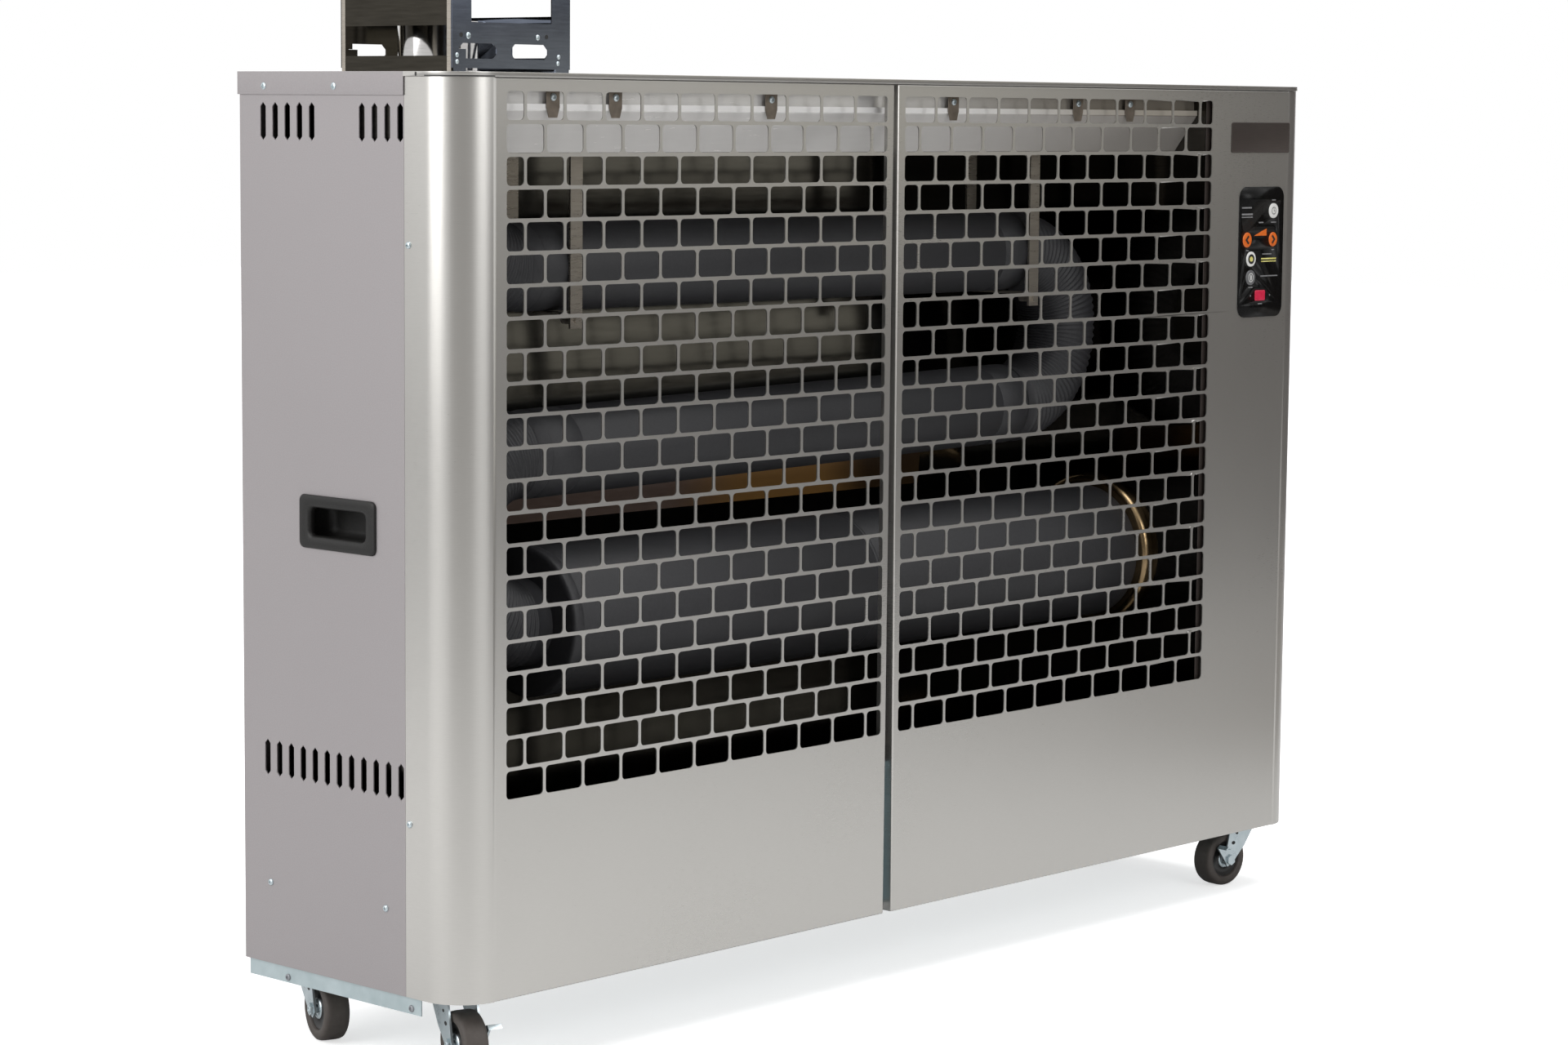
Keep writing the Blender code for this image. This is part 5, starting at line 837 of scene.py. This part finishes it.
def buttons():
    """Crowned buttons and the lamp, each with a plain generic symbol."""
    for name, (slot_name, finish) in BUTTONS.items():
        low, high = cabinet_box(name)
        x, z = (low.x + high.x) / 2, (low.z + high.z) / 2
        length, width = high.x - low.x, high.z - low.z
        radius = 0.002 if name == "power_button" else min(length, width) / 2 - 0.0001
        top = low.y + 0.00018
        bm = bmesh.new()
        rings = [upright((x, y, z), length - 2 * inset, width - 2 * inset,
                         max(radius - inset, 0.0004), 8)
                 for inset, y in ((0, high.y), (0, top + 0.0008), (0.0002, top + 0.0004),
                                  (0.0007, top + 0.00015), (0.0018, top + 0.00004), (0.0032, top))]
        stack_into(bm, rings)
        if name == "timer_button":
            mark_into(bm, x, z, 0.0085, 0.0085, 0.0042, top, index=1)
            mark_into(bm, x, z, 0.0068, 0.0068, 0.0033, top, 0.0001)
            mark_into(bm, x, z + 0.0012, 0.0008, 0.0030, 0.0003, top, 0.00015, index=1)
            mark_into(bm, x + 0.0010, z - 0.0002, 0.0024, 0.0008, 0.0003, top, 0.00015, index=1)
        elif name in ("heat_down_button", "heat_up_button"):
            way = 1 if name == "heat_up_button" else -1
            points = [(x + way * 0.0042, top, z), (x - way * 0.0012, top, z + 0.0052),
                      (x - way * 0.0034, top, z + 0.0036), (x + way * 0.0002, top, z),
                      (x - way * 0.0034, top, z - 0.0036), (x - way * 0.0012, top, z - 0.0052)]
            for face in prism_into(bm, points, (0, -PRINT, 0)):
                for part in face.link_faces:
                    part.material_index = 1
        elif name == "mode_button":
            mark_into(bm, x, z, 0.0092, 0.0104, 0.0045, top, index=1)
            mark_into(bm, x, z, 0.0074, 0.0086, 0.0036, top, 0.0001)
            mark_into(bm, x, z, 0.0022, 0.0060, 0.0010, top, 0.00015, index=1)
        elif name == "signal_lamp":
            mark_into(bm, x, z, 0.0120, 0.0110, 0.0054, top, index=1)
            mark_into(bm, x, z, 0.0062, 0.0056, 0.0027, top, 0.0001, index=2)
        second = WHITE if name == "mode_button" else MARK_DARK
        shell(bm, name + "_skin", (finish, second, YELLOW), nodes=(name,), slot=slot_name,
              body="heater" if name == "signal_lamp" else name, sharp=1.1)


buttons()


def panel_face():
    """The panel's glossy face with round corners and an opening for each button."""
    low, high = cabinet_box("control_panel")
    holes = []
    for name in BUTTONS:
        a, b = cabinet_box(name)
        length, width = b.x - a.x + 2 * GAP, b.z - a.z + 2 * GAP
        radius = 0.002 if name == "power_button" else min(length, width) / 2 - 0.0001
        outline = upright(((a.x + b.x) / 2, 0, (a.z + b.z) / 2), length, width,
                          radius, 6)
        holes.append([(p.x, p.z) for p in outline])
    outline = upright(((low.x + high.x) / 2, 0, (low.z + high.z) / 2),
                      high.x - low.x, high.z - low.z, 0.0125, 8)
    bm = flat_fill([(p.x, p.z) for p in outline], holes, lambda x, z: Vector((x, low.y, z)))
    face_out(bm, 1, -1)
    made = piece(bm, "control_panel_skin", PANEL_BLACK, nodes=("control_panel",),
                 slot="panel_black")
    thickened(made, SHEET / 2)


panel_face()


def guard_edges():
    """Thin beige strips on the guard's open side: a painted highlight for its bright folded edges.
    """
    low, high = cabinet_box("guard_left")
    bm = bmesh.new()
    for start, end in ((low.y, low.y + 0.0055), (high.y - 0.0050, high.y)):
        box_into(bm, (low.x - 0.0002, start, low.z), (low.x, end, high.z))
    shell(bm, "guard_edges", BEIGE_STEEL, slot="mirror_stainless")


guard_edges()


def guard_right():
    """The guard's right sheet, with a large window like the front sheet's."""
    low, high = cabinet_box("guard_right")
    outline = [(low.y, low.z), (high.y, low.z), (high.y, high.z), (low.y, high.z)]
    holes = []
    for bottom, top, start, end in ((0.8727, 0.9006, 0.0863, 0.1600),
                                    (0.9120, 0.9875, 0.0935, 0.2235)):
        ring = rounded((0, (start + end) / 2, (bottom + top) / 2), (0, 1, 0), (0, 0, 1),
                       end - start,
                       top - bottom, 0.0040, 5)
        holes.append([(p.y, p.z) for p in ring])
    bm = flat_fill(outline, holes, lambda y, z: Vector((high.x, y, z)))
    ends = rim(bm, lambda p: near(p.y, low.y)) + rim(bm, lambda p: near(p.y, high.y))
    fold(bm, ends, (low.x - high.x, 0, 0))
    face_out(bm, 0, 1)
    # The navy finish is a painted dark blue reflection.
    made = piece(bm, "guard_right_skin", NAVY_STEEL, nodes=("guard_right",),
                 slot="mirror_stainless")
    thickened(made)


guard_right()


def inner_strips():
    """The heat-tinted band on the back sheet and the partition's front edge."""
    bm = bmesh.new()
    slope = (0.258 - 0.272) / (0.4982 - 0.324)
    face = lambda z: 0.272 + (z - 0.324) * slope - 0.0016
    low, high = 0.405, 0.447
    points = [(0.300, face(low), low), (0.300, face(high), high),
              (0.300, face(high) + 0.0003, high),
              (0.300, face(low) + 0.0003, low)]
    prism_into(bm, points, (0.640, 0, 0))
    shell(bm, "heat_tinted_band", HEAT_TINT, slot="mirror_stainless")

    low, high = cabinet_box("partition_plate")
    bm = bmesh.new()
    box_into(bm, (CHAMBER_RIGHT + SHEET, low.y, 0.186), (high.x + 0.011, low.y + SHEET, 0.845))
    bevelled(shell(bm, "partition_front_edge", PLATE_BROWN, slot="mirror_stainless"))


inner_strips()


def panel_marks():
    """Plain printed marks beside the buttons, a level wedge, and the bare plate above."""
    bm = bmesh.new()
    for x, z, length, width, index in (
            (1.1975, 0.7205, 0.0190, 0.0016, 0), (1.1985, 0.7130, 0.0210, 0.0020, 0),
            (1.1985, 0.7098, 0.0210, 0.0012, 0), (1.2494, 0.7288, 0.0070, 0.0012, 0),
            (1.2494, 0.7035, 0.0100, 0.0012, 0), (1.2255, 0.7035, 0.0090, 0.0014, 0),
            (1.2000, 0.6720, 0.0050, 0.0012, 0), (1.2494, 0.6722, 0.0050, 0.0012, 0),
            (1.2380, 0.6675, 0.0180, 0.0013, 0), (1.2430, 0.6425, 0.0330, 0.0013, 0),
            (1.2076, 0.6300, 0.0080, 0.0012, 0), (1.2080, 0.6205, 0.0018, 0.0018, 0),
            (1.2450, 0.6205, 0.0018, 0.0018, 0), (1.2264, 0.6110, 0.0080, 0.0012, 0),
            (1.2415, 0.6622, 0.0290, 0.0016, 1), (1.2415, 0.6592, 0.0290, 0.0012, 1)):
        mark_into(bm, x, z, length, width, index=index)
    face = -0.0009
    for part in prism_into(bm, [(1.2125, face, 0.6885), (1.2365, face, 0.6885),
                                (1.2365, face, 0.6965),
                                (1.2265, face, 0.6935)], (0, -PRINT, 0)):
        for side in part.link_faces:
            side.material_index = 2
    shell(bm, "panel_marks", (MARK_GREY, YELLOW, ORANGE), slot="panel_black")

    bm = bmesh.new()
    rings = [upright((1.2216, y, 0.7996), 0.1118 - 2 * inset, 0.0342 - 2 * inset,
                     0.0022, 5)
             for inset, y in ((0, 0.0), (0, -0.0005), (0.0003, -0.0008), (0.0010, -0.0008),
                              (0.0014, -0.0006))]
    stack_into(bm, rings)
    shell(bm, "bare_plate", PLATE_BROWN, slot="panel_black", sharp=0.6)

    bm = bmesh.new()
    low, high = 0.0100, 0.1560
    box_into(bm, (0.5830, 0.0128, low), (0.6070, 0.0140, high))
    bevelled(shell(bm, "split_backing", TEAL_STEEL, slot="galvanised_steel"))


panel_marks()


# Casters

def wheel(name):
    """A wheel with a crowned tread, a stepped black hub and bright bearing rings."""
    low, high = cabinet_box("wheel_" + name)
    center = (low + high) / 2
    pivot = PIVOTS[name]
    trail = Vector((center.x - pivot[0], center.y - pivot[1], 0)).normalized()
    axis = Vector((-trail.y, trail.x, 0))
    tread = [(0.0204, 0.0092), (0.0212, 0.0112), (0.0226, 0.0122), (0.0262, 0.0125),
             (0.0288, 0.0121),
             (0.0304, 0.0108), (0.0312, 0.0086), (0.0315, 0.0052), (0.0315, 0.0018)]
    hub = [(0.0105, 0.0096), (0.0112, 0.0088), (0.0128, 0.0082), (0.0184, 0.0084), (0.0196, 0.0092),
           (0.0203, 0.0092)]
    ring = [(0.0043, 0.0100), (0.0048, 0.0104), (0.0062, 0.0104), (0.0066, 0.0098),
            (0.0070, 0.0098),
            (0.0075, 0.0106), (0.0092, 0.0106), (0.0099, 0.0100), (0.0104, 0.0096)]
    bm = bmesh.new()
    for index, (half, steps) in enumerate(((tread, 72), (hub, 48), (ring, 48))):
        profile = [(r, -h) for r, h in half] + [(r, h) for r, h in half[::-1]]
        turned_into(bm, profile, center, axis, steps, index, closed=True)
    shell(bm, "wheel_" + name + "_skin", (TYRE, HUB_BLACK, ZINC), body="wheel_" + name,
          nodes=("wheel_" + name,), slot="tyre_rubber", sharp=0.8)

    bm = bmesh.new()
    for way in (-1, 1):
        face = center + axis * way * 0.0184
        head_into(bm, face, axis * way, 0.0040, 0.0009, socket=True)
        # Near-black ovals on the fork sides: painted shade for their holes.
        for up, back, size in ((0.019, 0.35, 0.0030), (0.030, 0.60, 0.0022)):
            spot = center + axis * way * 0.01585 + Vector((0, 0, up)) - trail * 0.022 * back
            ring = [spot + trail * size * cos(2 * pi * i / 20) + Vector((0, 0, 1)) * size * 0.7
                    * sin(2 * pi * i / 20) for i in range(20)]
            stack_into(bm, [ring, [p + axis * way * PRINT for p in ring]], 1)
    shell(bm, "fork_detail_" + name, (ZINC, PAINTED_SHADE_BLACK), body="fork_" + name, slot="zinc_plated",
          sharp=0.7)


PIVOTS = {"front_left": (0.045, 0.056), "front_right": (1.275, 0.056), "rear_left": (0.045, 0.254),
          "rear_right": (1.275, 0.254)}
for name in PIVOTS:
    wheel(name)


# Rear fittings

def rear():
    """The filler cap with its grip ridges, and the pins of the power inlet."""
    low, high = cabinet_box("filler_cap")
    x, z = (low.x + high.x) / 2, (low.z + high.z) / 2
    radius = (high.x - low.x) / 2
    flat = high.y - 0.004
    rings = []
    for size, y, ridged in ((0.90, low.y, False), (1.0, low.y + 0.0015, True),
                            (1.0, flat - 0.0022, True),
                            (0.985, flat - 0.0009, True), (0.93, flat, False), (0.78, flat, False),
                            (0.74, flat - 0.0010, False), (0.10, flat - 0.0010, False)):
        ring = []
        for i in range(144):
            angle = 2 * pi * i / 144
            reach = radius * size - (0.0007 * (0.5 + 0.5 * cos(36 * angle)) if ridged else 0)
            ring.append((x + reach * cos(angle), y, z + reach * sin(angle)))
        rings.append(ring)
    bm = bmesh.new()
    stack_into(bm, rings)
    bar = [upright((x, y, z), 0.044 - 2 * inset, 0.0086 - 2 * inset, 0.003 - inset, 5)
           for inset, y in ((0, flat - 0.0012), (0, high.y - 0.0008), (0.0003, high.y - 0.0002),
                            (0.0010, high.y))]
    stack_into(bm, bar)
    shell(bm, "filler_cap_skin", BLACK_PLASTIC, body="filler_cap", nodes=("filler_cap",),
          slot="black_plastic", sharp=0.9)

    low, high = cabinet_box("power_inlet")
    x, z = (low.x + high.x) / 2, (low.z + high.z) / 2
    bm = bmesh.new()
    for across, up in ((-0.007, -0.002), (0.007, -0.002), (0.0, 0.0035)):
        pin = [upright((x + across, y, z + up), 0.0020 - 2 * inset, 0.0050 - 2 * inset,
                       0.0004, 3)
               for inset, y in ((0, low.y + 0.003), (0, high.y - 0.0090),
                                (0.0005, high.y - 0.0080))]
        stack_into(bm, pin)
    shell(bm, "inlet_pins", ZINC, slot="zinc_plated", sharp=0.6)


rear()


# Floor, lights and camera

def emission(tree, color, strength):
    """An emission shader of one colour."""
    return node(tree, "ShaderNodeEmission", {"Color": (*color, 1), "Strength": strength})


def surround():
    """A surround that lights softly, and is white to the camera and in shiny surfaces."""
    backdrop = bpy.data.worlds.new("studio")
    bpy.context.scene.world = backdrop
    backdrop.use_nodes = True
    tree = backdrop.node_tree
    tree.nodes.clear()
    link = tree.links.new
    rays = node(tree, "ShaderNodeLightPath")
    seen = node(tree, "ShaderNodeMath", operation="MAXIMUM")
    link(rays.outputs["Is Camera Ray"], seen.inputs[0])
    through = node(tree, "ShaderNodeMath", operation="MAXIMUM")
    link(rays.outputs["Is Glossy Ray"], through.inputs[0])
    link(rays.outputs["Is Transmission Ray"], through.inputs[1])
    link(through.outputs[0], seen.inputs[1])
    mix = node(tree, "ShaderNodeMixShader")
    link(seen.outputs[0], mix.inputs[0])
    for socket, strength in ((1, SURROUND_LIGHT), (2, 1.0)):
        white = node(tree, "ShaderNodeBackground", {"Color": (1, 1, 1, 1), "Strength": strength})
        link(white.outputs[0], mix.inputs[socket])
    out = node(tree, "ShaderNodeOutputWorld")
    link(mix.outputs[0], out.inputs[0])


def pale_floor():
    """A pale floor that keeps the shadow and fades to white."""
    material = bpy.data.materials.new("pale_floor")
    material.use_nodes = True
    tree = material.node_tree
    link = tree.links.new
    shader = tree.nodes["Principled BSDF"]
    shader.inputs["Base Color"].default_value = (0.80, 0.80, 0.80, 1)
    shader.inputs["Roughness"].default_value = 0.9
    shader.inputs["Specular IOR Level"].default_value = 0.0
    rays = node(tree, "ShaderNodeLightPath")
    place = node(tree, "ShaderNodeTexCoord")
    reach = node(tree, "ShaderNodeVectorMath", operation="LENGTH")
    link(place.outputs["Object"], reach.inputs[0])
    fade = node(tree, "ShaderNodeMapRange",
                {"From Min": 0.55, "From Max": 1.7, "To Min": 0.62, "To Max": 1.0},
                interpolation_type="SMOOTHSTEP")
    link(reach.outputs["Value"], fade.inputs["Value"])
    glow = emission(tree, (1, 1, 1), 1.0)
    link(fade.outputs["Result"], glow.inputs["Strength"])
    dark = emission(tree, (0, 0, 0), 0.0)
    pick = node(tree, "ShaderNodeMixShader")
    link(rays.outputs["Is Camera Ray"], pick.inputs[0])
    link(dark.outputs[0], pick.inputs[1])
    link(glow.outputs[0], pick.inputs[2])
    total = node(tree, "ShaderNodeAddShader")
    link(shader.outputs[0], total.inputs[0])
    link(pick.outputs[0], total.inputs[1])
    link(total.outputs[0], tree.nodes["Material Output"].inputs["Surface"])
    bm = bmesh.new()
    bmesh.ops.create_grid(bm, x_segments=1, y_segments=1, size=14)
    meshed(bm, "floor", (material,))


def lamp(name, place, target, size, power):
    """A soft rectangular lamp that looks at a point."""
    light = bpy.data.lights.new(name, "AREA")
    light.shape = "RECTANGLE"
    light.size, light.size_y = size
    light.energy = power
    made = placed(name, light)
    made.location = place
    made.rotation_euler = (Vector(target) - Vector(place)).to_track_quat("-Z", "Y").to_euler()
    made.visible_camera = False


def card(name, corners, color):
    """A plain card outside the picture, which only shiny surfaces see."""
    material = bpy.data.materials.new(name)
    material.use_nodes = True
    tree = material.node_tree
    tree.nodes.clear()
    out = node(tree, "ShaderNodeOutputMaterial")
    tree.links.new(emission(tree, color, 1.0).outputs[0], out.inputs["Surface"])
    bm = bmesh.new()
    bm.faces.new([bm.verts.new(p) for p in corners])
    made = meshed(bm, name, (material,))
    made.visible_camera = False
    made.visible_diffuse = False
    made.visible_shadow = False
    made.visible_transmission = False


surround()
pale_floor()
lamp("left_lamp", (-3.15, 0.64, 1.75), (-0.6, 0, 0.6), (1.82, 2.2), 52)
lamp("front_lamp", (-0.2, -3.6, 1.9), (-0.3, 0, 0.5), (1.3, 1.7), 28)
lamp("top_lamp", (0.2, -0.6, 3.4), (0, 0, 0.5), (2.6, 2.0), 80)
card("right_card", ((0.45, -2.95, 0.0), (3.9, -1.35, 0.0), (3.9, -1.35, 2.4), (2.6, -1.95, 1.35),
                    (0.45, -2.95, 0.80)), (0.030, 0.022, 0.018))
card("room_card", ((1.42, -2.34, 0.76), (2.45, -1.86, 0.76), (2.45, -1.86, 1.04),
                   (1.42, -2.34, 1.04)),
     (0.80, 0.77, 0.67))
card("far_right_card", ((3.9, -1.35, 0.0), (4.5, 0.9, 0.0), (4.5, 0.9, 2.4), (3.9, -1.35, 2.4)),
     (0.055, 0.046, 0.042))
card("floor_card", ((1.0, -1.1, 0.003), (1.6, -0.25, 0.003), (4.4, 0.3, 0.003),
                    (3.9, -1.35, 0.003)),
     (0.36, 0.34, 0.32))
card("behind_card", ((-3.4, -1.0, 0.0), (-1.4, -3.4, 0.0), (-1.4, -3.4, 2.6), (-3.4, -1.0, 2.6)),
     (0.32, 0.31, 0.30))


def camera():
    """The photograph's viewpoint: place, aim, roll and lens."""
    yaw, pitch, roll = radians(42.84583), radians(-6.31160), radians(0.51533)
    ahead = Vector((cos(pitch) * cos(yaw), cos(pitch) * sin(yaw), sin(pitch)))
    right = Vector((sin(yaw), -cos(yaw), 0))
    up = right.cross(ahead)
    across = right * cos(roll) + up * sin(roll)
    upward = up * cos(roll) - right * sin(roll)
    data = bpy.data.cameras.new("camera")
    data.sensor_width = 36
    data.lens = 85.227
    data.shift_x = -0.0013
    data.clip_start = 0.05
    data.clip_end = 60
    made = placed("camera", data)
    turn = Matrix((across, upward, -ahead)).transposed().to_4x4()
    made.matrix_world = Matrix.Translation(world(-2.24896, -2.48975, 0.82370)) @ turn
    bpy.context.scene.camera = made


camera()
bpy.context.scene.view_settings.view_transform = "Standard"
